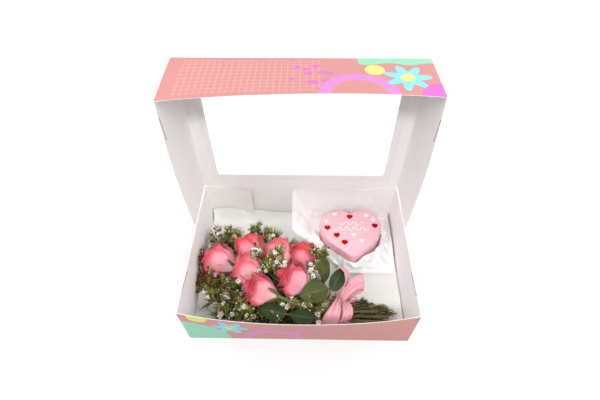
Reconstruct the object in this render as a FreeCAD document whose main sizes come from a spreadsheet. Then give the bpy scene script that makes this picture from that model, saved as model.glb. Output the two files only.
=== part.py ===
"""Flower gift box: a windowed carton with a hinged lid, a rose bouquet and a small iced cake."""
import FreeCAD
import Part
import math
import os
import re
import Sketcher
from FreeCAD import Placement, Rotation, Vector

os.makedirs("parts", exist_ok=True)
doc = FreeCAD.newDocument("flower_box")

# Driving dimensions, millimetres and degrees
DIMENSIONS = [
    ("tray_width", 300, "outside width of the tray"),
    ("tray_depth", 212, "outside depth of the tray"),
    ("tray_height", 81, "table to hinge line"),
    ("board", 0.6, "folding boxboard thickness"),
    ("seat_gap", 0.3, "closed lid panel above the tray walls"),
    ("hinge_gap", 0.05, "panel edges to the crease bead"),
    ("flap_length", 71, "corner flap, fold to free edge"),
    ("flap_taper", 9, "corner flap narrowing at its free edge"),
    ("slit_start", 27, "lock slit, from the front wall"),
    ("slit_length", 35, "lock slit length"),
    ("slit_depth", 4, "lock slit inner end below the free edge"),
    ("slit_opening", 1.2, "lock slit mouth"),
    ("lid_height", 79, "hinge line to the lid walls' free edge"),
    ("lid_gap", 0.8, "lid walls outside the tray walls"),
    ("lid_open_angle", 92, "lid angle at rest, 0 is closed"),
    ("rear_relief", 1.5, "lid side walls kept off the hinge line"),
    ("window_margin", 23.5, "board left around the window"),
    ("window_corner", 5, "window corner radius"),
    ("film_thickness", 0.2, "window film"),
    ("film_overlap", 10, "film glued onto the board around the window"),
    ("liner_thickness", 0.1, "floor liner sheet"),
    ("liner_clearance", 2, "floor liner edge to the tray walls"),
    ("liner_upturn", 12, "floor liner edge turned up at the back wall"),
    ("cake_width", 97, "frosted heart across its lobes"),
    ("cake_height", 34, "frosted heart height"),
    ("cake_from_right", 69.1, "heart centre to the right tray wall"),
    ("cake_from_back", 37.5, "heart centre to the back flaps"),
    ("cake_seat", 0.15, "cake to its paper, and paper to the liner"),
    ("frosting_side", 5, "frosting on the cake's side"),
    ("frosting_top", 4, "frosting on the cake's top"),
    ("frosting_round", 3, "rounding of the frosting's top edge"),
    ("filling_height", 4, "cream between the sponges"),
    ("cake_fit", 0.1, "frosting to sponge"),
    ("icing_heart_width", 9, "red icing heart"),
    ("icing_small_width", 7, "white icing heart"),
    ("icing_height", 0.8, "icing hearts"),
    ("piping_radius", 0.8, "piped scallop bead"),
    ("paper_thickness", 0.15, "greaseproof cake paper"),
    ("paper_front", 10, "cake paper in front of the heart's tip"),
    ("paper_right", 15, "cake paper to the right of the heart"),
    ("paper_left", 34, "cake paper to the left of the heart at the front"),
    ("paper_upright", 76, "cake paper standing at the back wall"),
    ("tie_from_left", 207.4, "bouquet tie to the left tray wall"),
    ("tie_from_front", 32.4, "bouquet tie to the front tray wall"),
    ("stem_end_clearance", 11, "cut stem ends to the right tray wall"),
    ("stem_cut_step", 44, "shortest cut stem, at the rear, short of the longest"),
    ("rose_length", 46, "bloom, calyx to tip"),
    ("rose_radius", 18.6, "bloom rim"),
    ("petal_thickness", 0.8, "rose petal"),
    ("rose_stem_radius", 2.3, "rose stem"),
    ("leaf_thickness", 0.5, "foliage leaf"),
    ("petiole_radius", 0.8, "foliage leaf stalk"),
    ("sprig_radius", 0.9, "waxflower main stem"),
    ("twig_radius", 0.5, "waxflower twig"),
    ("flower_radius", 3, "waxflower bloom"),
    ("tie_width", 8, "binding tie along the stems"),
    ("tie_thickness", 1, "binding tie"),
    ("ribbon_width", 25, "satin ribbon"),
    ("ribbon_thickness", 0.4, "satin ribbon"),
    ("ribbon_fit", 0.05, "ribbon band to the tie"),
    ("bouquet_seat", 0.3, "ribbon band above the liner"),
]

sheet = doc.addObject("Spreadsheet::Sheet", "Sizes")
for row, (name, value, note) in enumerate(DIMENSIONS, start=1):
    sheet.set(f"A{row}", name)
    sheet.set(f"B{row}", str(value))
    sheet.set(f"C{row}", note)
    sheet.setAlias(f"B{row}", name)
doc.recompute()

NAMES = [name for name, value, note in DIMENSIONS]
ROLES = {"XY": "XY_Plane", "XZ": "XZ_Plane", "YZ": "YZ_Plane"}
exports = []


def size(name):
    """Return one driving dimension as a number."""
    return float(getattr(sheet, name))


def bound(formula):
    """Return a formula with every dimension name turned into its spreadsheet cell."""
    return re.sub(r"[a-z][a-z_]*", lambda word: "Sizes." + word.group(0) if word.group(0) in NAMES
                  else word.group(0), str(formula))


def number(formula):
    """Return the present value of a formula of dimension names."""
    return float(sheet.evalExpression(bound(formula)))


# Flat board pieces: a constrained outline and a pad

def add_outline(body, name, plane, offset, points):
    """Add a closed sketch of straight edges whose corners are bound to formulas."""
    sketch = body.newObject("Sketcher::SketchObject", name)
    support = [item for item in body.Origin.OriginFeatures if item.Role == ROLES[plane]][0]
    sketch.AttachmentSupport = [(support, "")]
    sketch.MapMode = "FlatFace"
    sketch.setExpression("AttachmentOffset.Base.z", bound(offset))
    corners = [Vector(number(x), number(y), 0) for x, y in points]
    count = len(corners)
    for index in range(count):
        sketch.addGeometry(Part.LineSegment(corners[index], corners[(index + 1) % count]))
    for index in range(count):
        sketch.addConstraint(Sketcher.Constraint("Coincident", index, 2, (index + 1) % count, 1))
    for index, (x, y) in enumerate(points):
        for kind, formula, value in (("DistanceX", x, corners[index].x), ("DistanceY", y, corners[index].y)):
            place = sketch.addConstraint(Sketcher.Constraint(kind, -1, 1, index, 1, value))
            sketch.setExpression(f"Constraints[{place}]", bound(formula))
    return sketch


def add_pad(body, name, sketch, length):
    """Pad a sketch by a bound length."""
    pad = body.newObject("PartDesign::Pad", name)
    pad.Profile = sketch
    pad.setExpression("Length", bound(length))
    return pad


def add_panel(label, plane, offset, points, thickness="board"):
    """Make one flat piece as a body of its own."""
    body = doc.addObject("PartDesign::Body", label)
    body.Label = label
    sketch = add_outline(body, label + "_outline", plane, offset, points)
    add_pad(body, label + "_pad", sketch, thickness)
    exports.append(body)
    return body


def place_on_hinge(body):
    """Put a lid piece, drawn about the hinge line with the lid closed, at its rest angle."""
    body.Placement = Placement(Vector(0, 0, 0), Rotation(Vector(1, 0, 0), -90))
    body.setExpression("Placement.Base.y", bound("tray_depth / 2 - board / 2"))
    body.setExpression("Placement.Base.z", bound("tray_height"))
    body.setExpression("Placement.Rotation.Angle", bound("-lid_open_angle"))


def add_shape(label, shape, placement=None):
    """Keep a finished solid, or a group of solids, as a sub-part."""
    item = doc.addObject("Part::Feature", label)
    item.Label = label
    item.Shape = shape
    if placement is not None:
        item.Placement = placement
    exports.append(item)
    return item


# Tray

HALF_W = "tray_width / 2"
HALF_D = "tray_depth / 2"
WALL_TOP = "tray_height - board / 2 - seat_gap"

add_panel("tray_floor", "XY", "0", [
    (f"-{HALF_W}", f"-{HALF_D}"), (HALF_W, f"-{HALF_D}"), (HALF_W, HALF_D), (f"-{HALF_W}", HALF_D)])
add_panel("tray_front_wall", "XZ", f"{HALF_D} - board", [
    (f"-{HALF_W}", "board"), (HALF_W, "board"), (HALF_W, WALL_TOP), (f"-{HALF_W}", WALL_TOP)])
BACK_TOP = "tray_height - board / 2 - hinge_gap"
add_panel("tray_back_wall", "XZ", f"-{HALF_D}", [
    (f"-{HALF_W}", "board"), (HALF_W, "board"), (HALF_W, BACK_TOP), (f"-{HALF_W}", BACK_TOP)])


def side_outline(front, rear, low, high, slit_at_top):
    """Outline of a side wall in (y, z), with the lock slit cut into its free edge."""
    mouth = f"({front} + slit_start)"
    if slit_at_top:
        return [(front, low), (rear, low), (rear, high), (f"{mouth} + slit_opening", high),
                (f"{mouth} + slit_length", f"{high} - slit_depth"), (mouth, high), (front, high)]
    return [(front, low), (mouth, low), (f"{mouth} + slit_length", f"{low} + slit_depth"),
            (f"{mouth} + slit_opening", low), (rear, low), (rear, high), (front, high)]


TRAY_SIDE = side_outline(f"(board - {HALF_D})", f"({HALF_D} - board)", "board", f"({WALL_TOP})", True)
add_panel("tray_left_wall", "YZ", f"-{HALF_W}", TRAY_SIDE)
add_panel("tray_right_wall", "YZ", f"{HALF_W} - board", TRAY_SIDE)


def flap_outline(side, root, low, high):
    """Outline of a corner flap in (x, z), folded in from a side wall."""
    tip = f"({root} - flap_length)"
    points = [(root, low), (root, high), (tip, f"{high} - flap_taper"), (tip, f"{low} + flap_taper")]
    return [(f"-({x})", z) for x, z in points] if side == "left" else points


for side in ("left", "right"):
    outline = flap_outline(side, f"({HALF_W} - board)", "board", f"({WALL_TOP})")
    add_panel(f"tray_front_{side}_flap", "XZ", f"{HALF_D} - 2 * board", outline)
    add_panel(f"tray_back_{side}_flap", "XZ", f"board - {HALF_D}", outline)

bead = doc.addObject("Part::Cylinder", "hinge_crease")
bead.Label = "hinge_crease"
bead.setExpression("Radius", bound("board / 2"))
bead.setExpression("Height", bound("tray_width - 4 * board"))
bead.Placement = Placement(Vector(0, 0, 0), Rotation(Vector(0, 1, 0), 90))
bead.setExpression("Placement.Base.x", bound("2 * board - tray_width / 2"))
bead.setExpression("Placement.Base.y", bound(f"{HALF_D} - board / 2"))
bead.setExpression("Placement.Base.z", bound("tray_height"))
exports.append(bead)

# Lid, drawn closed about the hinge line, then turned to its rest angle

LID_HALF = "(tray_width / 2 + lid_gap + board)"
LID_REACH = "(tray_depth + board * 3 / 2 + lid_gap)"
HINGE_EDGE = "(board / 2 + hinge_gap)"

panel = doc.addObject("PartDesign::Body", "lid_panel")
panel.Label = "lid_panel"
panel_sketch = add_outline(panel, "lid_panel_outline", "XY", "-board / 2", [
    (f"-{LID_HALF}", f"-{LID_REACH}"), (LID_HALF, f"-{LID_REACH}"),
    (LID_HALF, f"-{HINGE_EDGE}"), (f"-{LID_HALF}", f"-{HINGE_EDGE}")])
add_pad(panel, "lid_panel_pad", panel_sketch, "board")


def window_corners(grow):
    """Corners of the window in the lid's plane, grown outward by a formula."""
    half = f"({HALF_W} - window_margin + {grow})"
    near = f"(window_margin - {grow})"
    far = f"({LID_REACH} - window_margin + {grow})"
    return [(f"-{half}", f"-{far}"), (half, f"-{far}"), (half, f"-{near}"), (f"-{half}", f"-{near}")]


window_sketch = add_outline(panel, "window_outline", "XY", "board / 2", window_corners("0"))
window = panel.newObject("PartDesign::Pocket", "window_cut")
window.Profile = window_sketch
window.setExpression("Length", bound("2 * board"))
window.Midplane = True
doc.recompute()
corner_edges = []
for index, edge in enumerate(panel.Shape.Edges, start=1):
    inside = abs(edge.CenterOfMass.x) < number(f"{LID_HALF} - 1")
    inside = inside and number(f"-{LID_REACH} + 1") < edge.CenterOfMass.y < number(f"-{HINGE_EDGE} - 1")
    if inside and abs(edge.tangentAt(edge.FirstParameter).z) > 0.9:
        corner_edges.append(f"Edge{index}")
rounding = panel.newObject("PartDesign::Fillet", "window_corners")
rounding.Base = (window, corner_edges)
rounding.setExpression("Radius", bound("window_corner"))
exports.append(panel)
place_on_hinge(panel)

place_on_hinge(add_panel("window_film", "XY", "-board / 2 - film_thickness",
                         window_corners("film_overlap"), "film_thickness"))
place_on_hinge(add_panel("lid_front_wall", "XZ", f"{LID_REACH} - board", [
    (f"-{LID_HALF}", "-lid_height"), (LID_HALF, "-lid_height"),
    (LID_HALF, "-board / 2"), (f"-{LID_HALF}", "-board / 2")]))
LID_SIDE = side_outline(f"(board - {LID_REACH})", "-rear_relief", "(-lid_height)", "-board / 2", False)
place_on_hinge(add_panel("lid_left_wall", "YZ", f"-{LID_HALF}", LID_SIDE))
place_on_hinge(add_panel("lid_right_wall", "YZ", f"{LID_HALF} - board", LID_SIDE))
for side in ("left", "right"):
    outline = flap_outline(side, f"({LID_HALF} - board)", "(-lid_height)", "(-board / 2)")
    place_on_hinge(add_panel(f"lid_{side}_flap", "XZ", f"{LID_REACH} - 2 * board", outline))

# Floor liner, one sheet with its rear edge turned up

liner = doc.addObject("PartDesign::Body", "floor_liner")
liner.Label = "floor_liner"
LINER_X = f"({HALF_W} - board - liner_clearance)"
LINER_REAR = f"({HALF_D} - 2 * board - cake_seat)"
liner_flat = add_outline(liner, "liner_flat", "XY", "board", [
    (f"-{LINER_X}", f"2 * board + liner_clearance - {HALF_D}"),
    (LINER_X, f"2 * board + liner_clearance - {HALF_D}"),
    (LINER_X, LINER_REAR), (f"-{LINER_X}", LINER_REAR)])
add_pad(liner, "liner_flat_pad", liner_flat, "liner_thickness")
liner_edge = add_outline(liner, "liner_edge", "XZ", f"-{LINER_REAR}", [
    (f"-{LINER_X}", "board"), (LINER_X, "board"),
    (LINER_X, "board + liner_upturn"), (f"-{LINER_X}", "board + liner_upturn")])
add_pad(liner, "liner_edge_pad", liner_edge, "liner_thickness")
exports.append(liner)

# Cake: a heart of circular arcs, reused at every inset

TIP_ANGLE = math.radians(39)


def heart_wire(half_width, inset, z):
    """Closed heart outline about the origin, its tip towards -Y, moved in by an inset."""
    body = half_width - inset
    lobe = 0.598 * half_width - inset
    centre = 0.402 * half_width
    tip = max(0.18 * half_width - inset, 0.05 * half_width)
    notch = math.sqrt(lobe * lobe - centre * centre)
    tip_y = -(body - tip) / math.sin(math.radians(51))

    def side(sign):
        normal = Vector(sign * math.sin(TIP_ANGLE), -math.cos(TIP_ANGLE), 0)
        top = Vector(sign * (centre + lobe * 0.5), lobe * math.sqrt(0.75), z)
        widest = Vector(sign * body, 0, z)
        flank = Vector(sign * body * math.cos(0.4), -body * math.sin(0.4), z)
        tangent = normal * body + Vector(0, 0, z)
        tip_start = normal * tip + Vector(0, tip_y, z)
        return top, widest, flank, tangent, tip_start

    top_l, wide_l, flank_l, tangent_l, tip_l = side(-1)
    top_r, wide_r, flank_r, tangent_r, tip_r = side(1)
    notch_point = Vector(0, notch, z)
    edges = [
        Part.Arc(notch_point, top_l, wide_l).toShape(),
        Part.Arc(wide_l, flank_l, tangent_l).toShape(),
        Part.LineSegment(tangent_l, tip_l).toShape(),
        Part.Arc(tip_l, Vector(0, tip_y - tip, z), tip_r).toShape(),
        Part.LineSegment(tip_r, tangent_r).toShape(),
        Part.Arc(tangent_r, flank_r, wide_r).toShape(),
        Part.Arc(wide_r, top_r, notch_point).toShape(),
    ]
    return Part.Wire(edges)


def heart_solid(half_width, inset, low, high):
    """Upright heart-shaped solid."""
    return Part.Face(heart_wire(half_width, inset, low)).extrude(Vector(0, 0, high - low))


cake_x = number(f"{HALF_W} - board - cake_from_right")
cake_y = number(f"{HALF_D} - 2 * board - cake_from_back")
paper_z = number("board + liner_thickness + cake_seat")
cake_z = paper_z + size("paper_thickness") + size("cake_seat")
cake_place = Placement(Vector(cake_x, cake_y, cake_z), Rotation())
half_cake = size("cake_width") / 2
cake_height = size("cake_height")
sponge_inset = size("frosting_side") + size("cake_fit")
sponge_top = cake_height - size("frosting_top") - size("cake_fit")
sponge_height = (sponge_top - size("filling_height")) / 2

coat = heart_solid(half_cake, 0, 0, cake_height)
top_edges = [edge for edge in coat.Edges if edge.BoundBox.ZMin > cake_height - 0.01]
coat = coat.makeFillet(size("frosting_round"), top_edges)
coat = coat.cut(heart_solid(half_cake, size("frosting_side"), -1, cake_height - size("frosting_top")))
add_shape("frosting_coat", coat, cake_place)
levels = [
    ("lower_sponge", 0, sponge_height),
    ("cream_filling", sponge_height, sponge_height + size("filling_height")),
    ("upper_sponge", sponge_height + size("filling_height"), sponge_top),
]
for label, low, high in levels:
    add_shape(label, heart_solid(half_cake, sponge_inset, low, high), cake_place)

RED_HEARTS = [(-0.02, 0.29), (-0.77, -0.17), (0.78, -0.07), (-0.48, -0.46), (-0.24, -0.73)]
WHITE_HEARTS = [(-0.52, 0.38), (-0.80, 0.08), (0.54, 0.35), (0.75, 0.16), (0.07, -0.44), (0.31, -0.66)]


def icing_group(places, width):
    """Flat icing hearts spread over the cake's top, in shares of half its width."""
    hearts = []
    for x, y in places:
        heart = heart_solid(width / 2, 0, 0, size("icing_height"))
        heart.translate(Vector(x * half_cake, y * half_cake, cake_height))
        hearts.append(heart)
    return Part.Compound(hearts)


add_shape("red_icing_hearts", icing_group(RED_HEARTS, size("icing_heart_width")), cake_place)
add_shape("white_icing_hearts", icing_group(WHITE_HEARTS, size("icing_small_width")), cake_place)


def tube(points, radius, bend):
    """Round tube along straight runs joined by arcs."""
    edges = []
    start = points[0]
    for before, corner, after in zip(points, points[1:], points[2:]):
        into = (corner - before).normalize()
        out = (after - corner).normalize()
        angle = into.getAngle(out)
        if angle < 0.02:
            continue
        reach = min(bend * math.tan(angle / 2), 0.45 * (corner - before).Length, 0.45 * (after - corner).Length)
        arc_start = corner - into * reach
        arc_end = corner + out * reach
        inward = (out - into).normalize()
        radius_here = reach / math.tan(angle / 2)
        middle = corner + inward * (radius_here / math.cos(angle / 2) - radius_here)
        edges.append(Part.LineSegment(start, arc_start).toShape())
        edges.append(Part.Arc(arc_start, middle, arc_end).toShape())
        start = arc_end
    edges.append(Part.LineSegment(start, points[-1]).toShape())
    path = Part.Wire(edges)
    ring = Part.Wire([Part.Circle(points[0], points[1] - points[0], radius).toShape()])
    return path.makePipeShell([ring], True, False)


def scallop_row(x_start, x_end, y, count):
    """Piped bead that swings to and fro along a row on the cake's top."""
    radius = (x_end - x_start) / count / 2
    z = cake_height + size("piping_radius") + size("cake_fit")
    edges = []
    for index in range(count):
        left = x_start + 2 * radius * index
        swing = radius if index % 2 else -radius
        edges.append(Part.Arc(Vector(left, y, z), Vector(left + radius, y + swing, z),
                              Vector(left + 2 * radius, y, z)).toShape())
    path = Part.Wire(edges)
    ring = Part.Wire([Part.Circle(Vector(x_start, y, z), Vector(0, 1, 0), size("piping_radius")).toShape()])
    return path.makePipeShell([ring], True, False)


piping = Part.Compound([
    scallop_row(-0.35 * half_cake, 0.43 * half_cake, 0.0, 6),
    scallop_row(-0.56 * half_cake, 0.55 * half_cake, -0.22 * half_cake, 9),
])
add_shape("piped_icing_scallops", piping, cake_place)

paper = doc.addObject("PartDesign::Body", "cake_paper")
paper.Label = "cake_paper"
CAKE_X = f"({HALF_W} - board - cake_from_right)"
CAKE_Y = f"({HALF_D} - 2 * board - cake_from_back)"
PAPER_Z = "(board + liner_thickness + cake_seat)"
PAPER_FRONT = f"({CAKE_Y} - 0.643 * cake_width - paper_front)"
PAPER_REAR = f"({HALF_D} - 2 * board - liner_thickness - 2 * cake_seat)"
PAPER_RIGHT = f"({CAKE_X} + cake_width / 2 + paper_right)"
PAPER_NEAR = f"({CAKE_X} - paper_left)"
PAPER_LEFT = f"({CAKE_X} - cake_width * 0.74)"
paper_flat = add_outline(paper, "paper_flat", "XY", PAPER_Z, [
    (PAPER_NEAR, PAPER_FRONT), (PAPER_RIGHT, PAPER_FRONT), (PAPER_RIGHT, PAPER_REAR),
    (PAPER_LEFT, PAPER_REAR), (PAPER_LEFT, f"{CAKE_Y} - cake_width * 0.16"),
    (PAPER_NEAR, f"{CAKE_Y} - cake_width * 0.45")])
add_pad(paper, "paper_flat_pad", paper_flat, "paper_thickness")
paper_back = add_outline(paper, "paper_back", "XZ", f"-{PAPER_REAR}", [
    (PAPER_LEFT, PAPER_Z), (PAPER_RIGHT, PAPER_Z),
    (PAPER_RIGHT, f"{PAPER_Z} + paper_upright * 0.62"),
    (f"{CAKE_X} + cake_width * 0.36", f"{PAPER_Z} + paper_upright * 0.93"),
    (f"{CAKE_X} - cake_width * 0.1", f"{PAPER_Z} + paper_upright * 0.86"),
    (f"{CAKE_X} - cake_width * 0.55", f"{PAPER_Z} + paper_upright"),
    (PAPER_LEFT, f"{PAPER_Z} + paper_upright * 0.66")])
add_pad(paper, "paper_back_pad", paper_back, "paper_thickness")
exports.append(paper)

# Bouquet: every place below is measured from the tie, where all stems meet

tie_x = number(f"board - {HALF_W} + tie_from_left")
tie_y = number(f"board - {HALF_D} + tie_from_front")
tie_z = number("board + liner_thickness")
stem_end = number(f"{HALF_W} - board - stem_end_clearance")


def at(x, y, z):
    """Point measured from the tie, its height from the liner."""
    return Vector(tie_x + x, tie_y + y, tie_z + z)


def aim(origin, direction, up=Vector(0, 0, 1)):
    """Placement whose local Z runs along a direction and whose local X leans to an up vector."""
    axis = Vector(direction).normalize()
    side = up.cross(axis)
    if side.Length < 1e-6:
        side = Vector(0, 1, 0)
    side.normalize()
    lean = axis.cross(side) * -1
    return Placement(origin, Rotation(lean * -1, side, axis, "ZXY"))


def rose_bloom():
    """Bloom with nested rings of petals on a cup, its base at the origin, opening along +Z."""
    length = size("rose_length")
    rim = size("rose_radius")
    leaf = size("petal_thickness")
    flare = rim * 0.1
    cup_top = length * 0.185
    rings = [rim - flare - step * rim * 0.112 for step in range(5)]
    cup_radius = 0.72 * rings[0] + leaf * 1.2
    cup = Part.Wire([
        Part.LineSegment(Vector(0, 0, 0), Vector(cup_radius * 0.34, 0, 0)).toShape(),
        Part.Arc(Vector(cup_radius * 0.34, 0, 0), Vector(cup_radius * 0.82, 0, cup_top * 0.36),
                 Vector(cup_radius, 0, cup_top)).toShape(),
        Part.LineSegment(Vector(cup_radius, 0, cup_top), Vector(0, 0, cup_top)).toShape(),
        Part.LineSegment(Vector(0, 0, cup_top), Vector(0, 0, 0)).toShape(),
    ])
    solids = [Part.Face(cup).revolve(Vector(0, 0, 0), Vector(0, 0, 1), 360)]
    for step, ring in enumerate(rings):
        top = length * (0.80 + 0.05 * step)
        reach = ring + flare * (1 - step * 0.45)

        def section(shift):
            curve = Part.BSplineCurve()
            curve.interpolate([Vector(ring * 0.72 + shift, 0, cup_top - 1), Vector(ring * 0.95 + shift, 0, top * 0.45),
                               Vector(ring + shift, 0, top * 0.72), Vector(reach + shift, 0, top)])
            return curve

        inner = section(-leaf / 2)
        outer = section(leaf / 2)
        profile = Part.Wire([
            inner.toShape(),
            Part.LineSegment(Vector(reach - leaf / 2, 0, top), Vector(reach + leaf / 2, 0, top)).toShape(),
            outer.toShape(),
            Part.LineSegment(Vector(ring * 0.72 + leaf / 2, 0, cup_top - 1),
                             Vector(ring * 0.72 - leaf / 2, 0, cup_top - 1)).toShape(),
        ])
        half = math.radians(55)
        edge = reach * math.sin(half) * 1.02
        shoulder = top * 0.70
        outline = Part.Wire([
            Part.LineSegment(Vector(0, -edge, 0), Vector(0, edge, 0)).toShape(),
            Part.LineSegment(Vector(0, edge, 0), Vector(0, edge, shoulder)).toShape(),
            Part.Arc(Vector(0, edge, shoulder), Vector(0, 0, top - leaf), Vector(0, -edge, shoulder)).toShape(),
            Part.LineSegment(Vector(0, -edge, shoulder), Vector(0, -edge, 0)).toShape(),
        ])
        shape = Part.Face(profile).revolve(Vector(0, 0, 0), Vector(0, 0, 1), 110)
        shape.rotate(Vector(0, 0, 0), Vector(0, 0, 1), -55)
        shape = shape.common(Part.Face(outline).extrude(Vector(reach * 2, 0, 0)))
        for turn in range(3):
            petal = shape.copy()
            petal.rotate(Vector(0, 0, 0), Vector(0, 0, 1), 120 * turn + 47 * step)
            solids.append(petal)
    return solids[0].multiFuse(solids[1:]).Solids[0]


# Bloom middle, facing direction and slot in the tie (across, height) of each rose
ROSES = [
    ((-181, 72, 28.3), (-0.93, 0.35, 0.12), (-7.6, 7.2), (-146, 57, 7.2)),
    ((-131, 52, 37.3), (-0.78, 0.55, 0.29), (-4.0, 12.4), None),
    ((-130, 94, 29.3), (-0.42, 0.88, 0.12), (-1.9, 7.2), None),
    ((-110, 13, 53.3), (-0.93, 0.20, 0.30), (-9.8, 12.4), None),
    ((-88, 88, 30.8), (-0.25, 0.95, 0.15), (3.8, 7.2), None),
    ((-67, 35, 45.3), (-0.93, 0.32, 0.17), (2.0, 12.4), None),
    ((-49, 80, 31.9), (-0.20, 0.95, 0.20), (9.5, 7.2), None),
]

bloom = rose_bloom()
for index, (middle, facing, slot, detour) in enumerate(ROSES, start=1):
    facing = Vector(*facing).normalize()
    base = at(*middle) - facing * (size("rose_length") / 2)
    place = aim(base, facing)
    turned = place.multiply(Placement(Vector(0, 0, 0), Rotation(Vector(0, 0, 1), 37 * index)))
    add_shape(f"rose_{index}_bloom", bloom.copy(), turned)
    radius = size("rose_stem_radius")
    calyx_radius = size("rose_radius") * 0.22
    seat = base - facing * 0.05
    calyx = Part.makeCone(calyx_radius, radius * 1.1, 8, seat, facing * -1)
    route = [seat - facing * 5, base - facing * 10]
    if detour:
        route.append(at(*detour))
    route.append(at(-24, slot[0], slot[1]))
    cut = size("stem_cut_step") * (slot[0] + 9.8) / 19.3
    route.append(Vector(stem_end - cut, tie_y + slot[0] * 1.3, tie_z + slot[1]))
    stem = tube(route, radius, 14)
    add_shape(f"rose_{index}_stem", calyx.fuse(stem).removeSplitter())

# Leaf base, tip, width, upward lean and slot in the tie of each foliage leaf
LEAVES = [
    ((-19, 32, 39), (-27, 80, 44), 20, (0.5, 0.1, 1), 8.4),
    ((-20, 16, 41), (-56, 0, 52), 27, (0.1, -0.3, 1), 0.0),
    ((-15, 22, 35), (-3, 56, 42), 16, (0.2, -0.2, 1), 4.2),
    ((-74, -13, 33), (-111, -6, 33), 18, (0, -0.5, 1), -12.0),
    ((-36, -19, 38), (-69, -14, 38), 16, (0, -0.6, 1), -9.2),
]


def leaf_blade(length, width):
    """Arched leaf blade along +Z from the origin, its upper face towards +X."""
    thick = size("leaf_thickness")
    bow = length * 1.4
    half = width / 2
    outline = Part.Wire([
        Part.Arc(Vector(-bow, 0, 0), Vector(-bow, half, length * 0.45), Vector(-bow, 0, length)).toShape(),
        Part.Arc(Vector(-bow, 0, length), Vector(-bow, -half, length * 0.45), Vector(-bow, 0, 0)).toShape(),
    ])
    prism = Part.Face(outline).extrude(Vector(2 * bow, 0, 0))
    centre = Vector(-bow * 0.94, -width, length / 2)
    shell = Part.makeCylinder(bow, 2 * width, centre, Vector(0, 1, 0))
    shell = shell.cut(Part.makeCylinder(bow - thick, 2 * width, centre, Vector(0, 1, 0)))
    blades = shell.common(prism).Solids
    return max(blades, key=lambda solid: solid.CenterOfMass.x)


for index, (base, tip, width, lean, slot) in enumerate(LEAVES, start=1):
    start = at(*base)
    along = at(*tip) - start
    place = aim(start, along, Vector(*lean))
    blade = leaf_blade(along.Length, width)
    blade.Placement = place
    into = Vector(along).normalize()
    root = min(blade.Vertexes, key=lambda vertex: (vertex.Point - start).Length).Point
    stalk = tube([root + into * 4, root - into * 4, at(-22, slot, 16.4), at(20, slot, 16.4)],
                 size("petiole_radius"), 6)
    whole = blade.fuse(stalk).removeSplitter()
    add_shape(f"foliage_leaf_{index}", whole)

# Route to the head, head place, heading and reach of each waxflower sprig, in fan order
SPRIGS = [
    ((-23, 82, 3.2), (-22, 88, 27), (0, 0.1, 1), 13),
    ((-112, 116, 3.2), (-116, 122, 22), (-0.1, 0.15, 1), 16),
    ((-100, 66, 3.2), (-100, 67, 34), (0, 0.1, 1), 13),
    ((-162, 100, 3.2), (-174, 116, 20), (-0.35, 0.3, 0.8), 20),
    ((-180, 45, 3.2), (-191, 45, 18), (-0.2, 0, 0.95), 17),
    ((-176, 18, 3.2), (-188, 17, 12), (-0.4, -0.1, 0.85), 18),
    ((-155, -6, 3.2), (-166, -8, 9), (-0.6, -0.25, 0.7), 18),
    ((-110, -14, 3.2), (-122, -16, 8), (-0.6, -0.05, 0.6), 18),
]


def sprig_head(reach, turn):
    """Twigs with cup-shaped flowers and needle leaves, fanned about +Z from the origin."""
    pieces = []
    for index in range(6):
        around = math.radians(60 * index + turn)
        spread = math.radians(14 if index % 2 else 27)
        far = reach * (1.0 if index % 2 else 0.82)
        heading = Vector(math.sin(spread) * math.cos(around), math.sin(spread) * math.sin(around), math.cos(spread))
        pieces.append(Part.makeCylinder(size("twig_radius"), far, Vector(0, 0, 0), heading))
        flower = size("flower_radius")
        pieces.append(Part.makeCone(size("twig_radius") * 1.4, flower, flower * 0.9, heading * (far - 0.4), heading))
        for share, side in ((0.45, 1), (0.66, -1)):
            needle = Vector(heading.x + side * heading.y * 0.9, heading.y - side * heading.x * 0.9, heading.z * 0.8)
            needle.normalize()
            pieces.append(Part.makeCone(size("twig_radius") * 0.8, 0.2, reach * 0.4, heading * (far * share), needle))
    return pieces


for index, (route, head, heading, reach) in enumerate(SPRIGS, start=1):
    slot = 11.2 - 3.2 * (index - 1)
    turn = aim(at(*head), Vector(*heading))
    cut = 6 + index % 3 * 2 + size("stem_cut_step") * (slot + 11.2) / 22.4
    stem = tube([at(*head) + Vector(*heading).normalize() * 1, at(*route), at(-20, slot, 3.2),
                 Vector(stem_end - cut, tie_y + slot * 1.2, tie_z + 3.2)],
                size("sprig_radius"), 9)
    pieces = sprig_head(reach, 25 * index)
    for piece in pieces:
        piece.Placement = turn.multiply(piece.Placement)
    whole = stem.multiFuse(pieces)
    add_shape(f"waxflower_sprig_{index}", whole)

# Tie and ribbon

bundle_half = 13.4
bundle_low = size("bouquet_seat") + size("ribbon_thickness") + size("ribbon_fit") + size("tie_thickness")
bundle_high = 17.8


def ring_around(grow, thickness, width):
    """Rounded rectangular ring around the stems, grown out from the bundle."""
    def block(extra):
        low = bundle_low - grow - extra
        box = Part.makeBox(width, 2 * (bundle_half + grow + extra), bundle_high + grow + extra - low,
                           at(-width / 2, -bundle_half - grow - extra, low))
        edges = [edge for edge in box.Edges if abs(edge.tangentAt(edge.FirstParameter).x) > 0.9]
        return box.makeFillet(1.5 + grow + extra, edges)
    return block(thickness).cut(block(0))


add_shape("binding_tie", ring_around(0, size("tie_thickness"), size("tie_width")))
band_grow = size("tie_thickness") + size("ribbon_fit")
add_shape("ribbon_band", ring_around(band_grow, size("ribbon_thickness"), size("ribbon_width")))

knot_low = bundle_high + band_grow + size("ribbon_thickness") + size("ribbon_fit")
knot = Part.makeBox(15, 13, 9, at(-7.5, -2, knot_low))
knot = knot.makeFillet(3.5, knot.Edges)
add_shape("ribbon_knot", knot)


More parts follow.
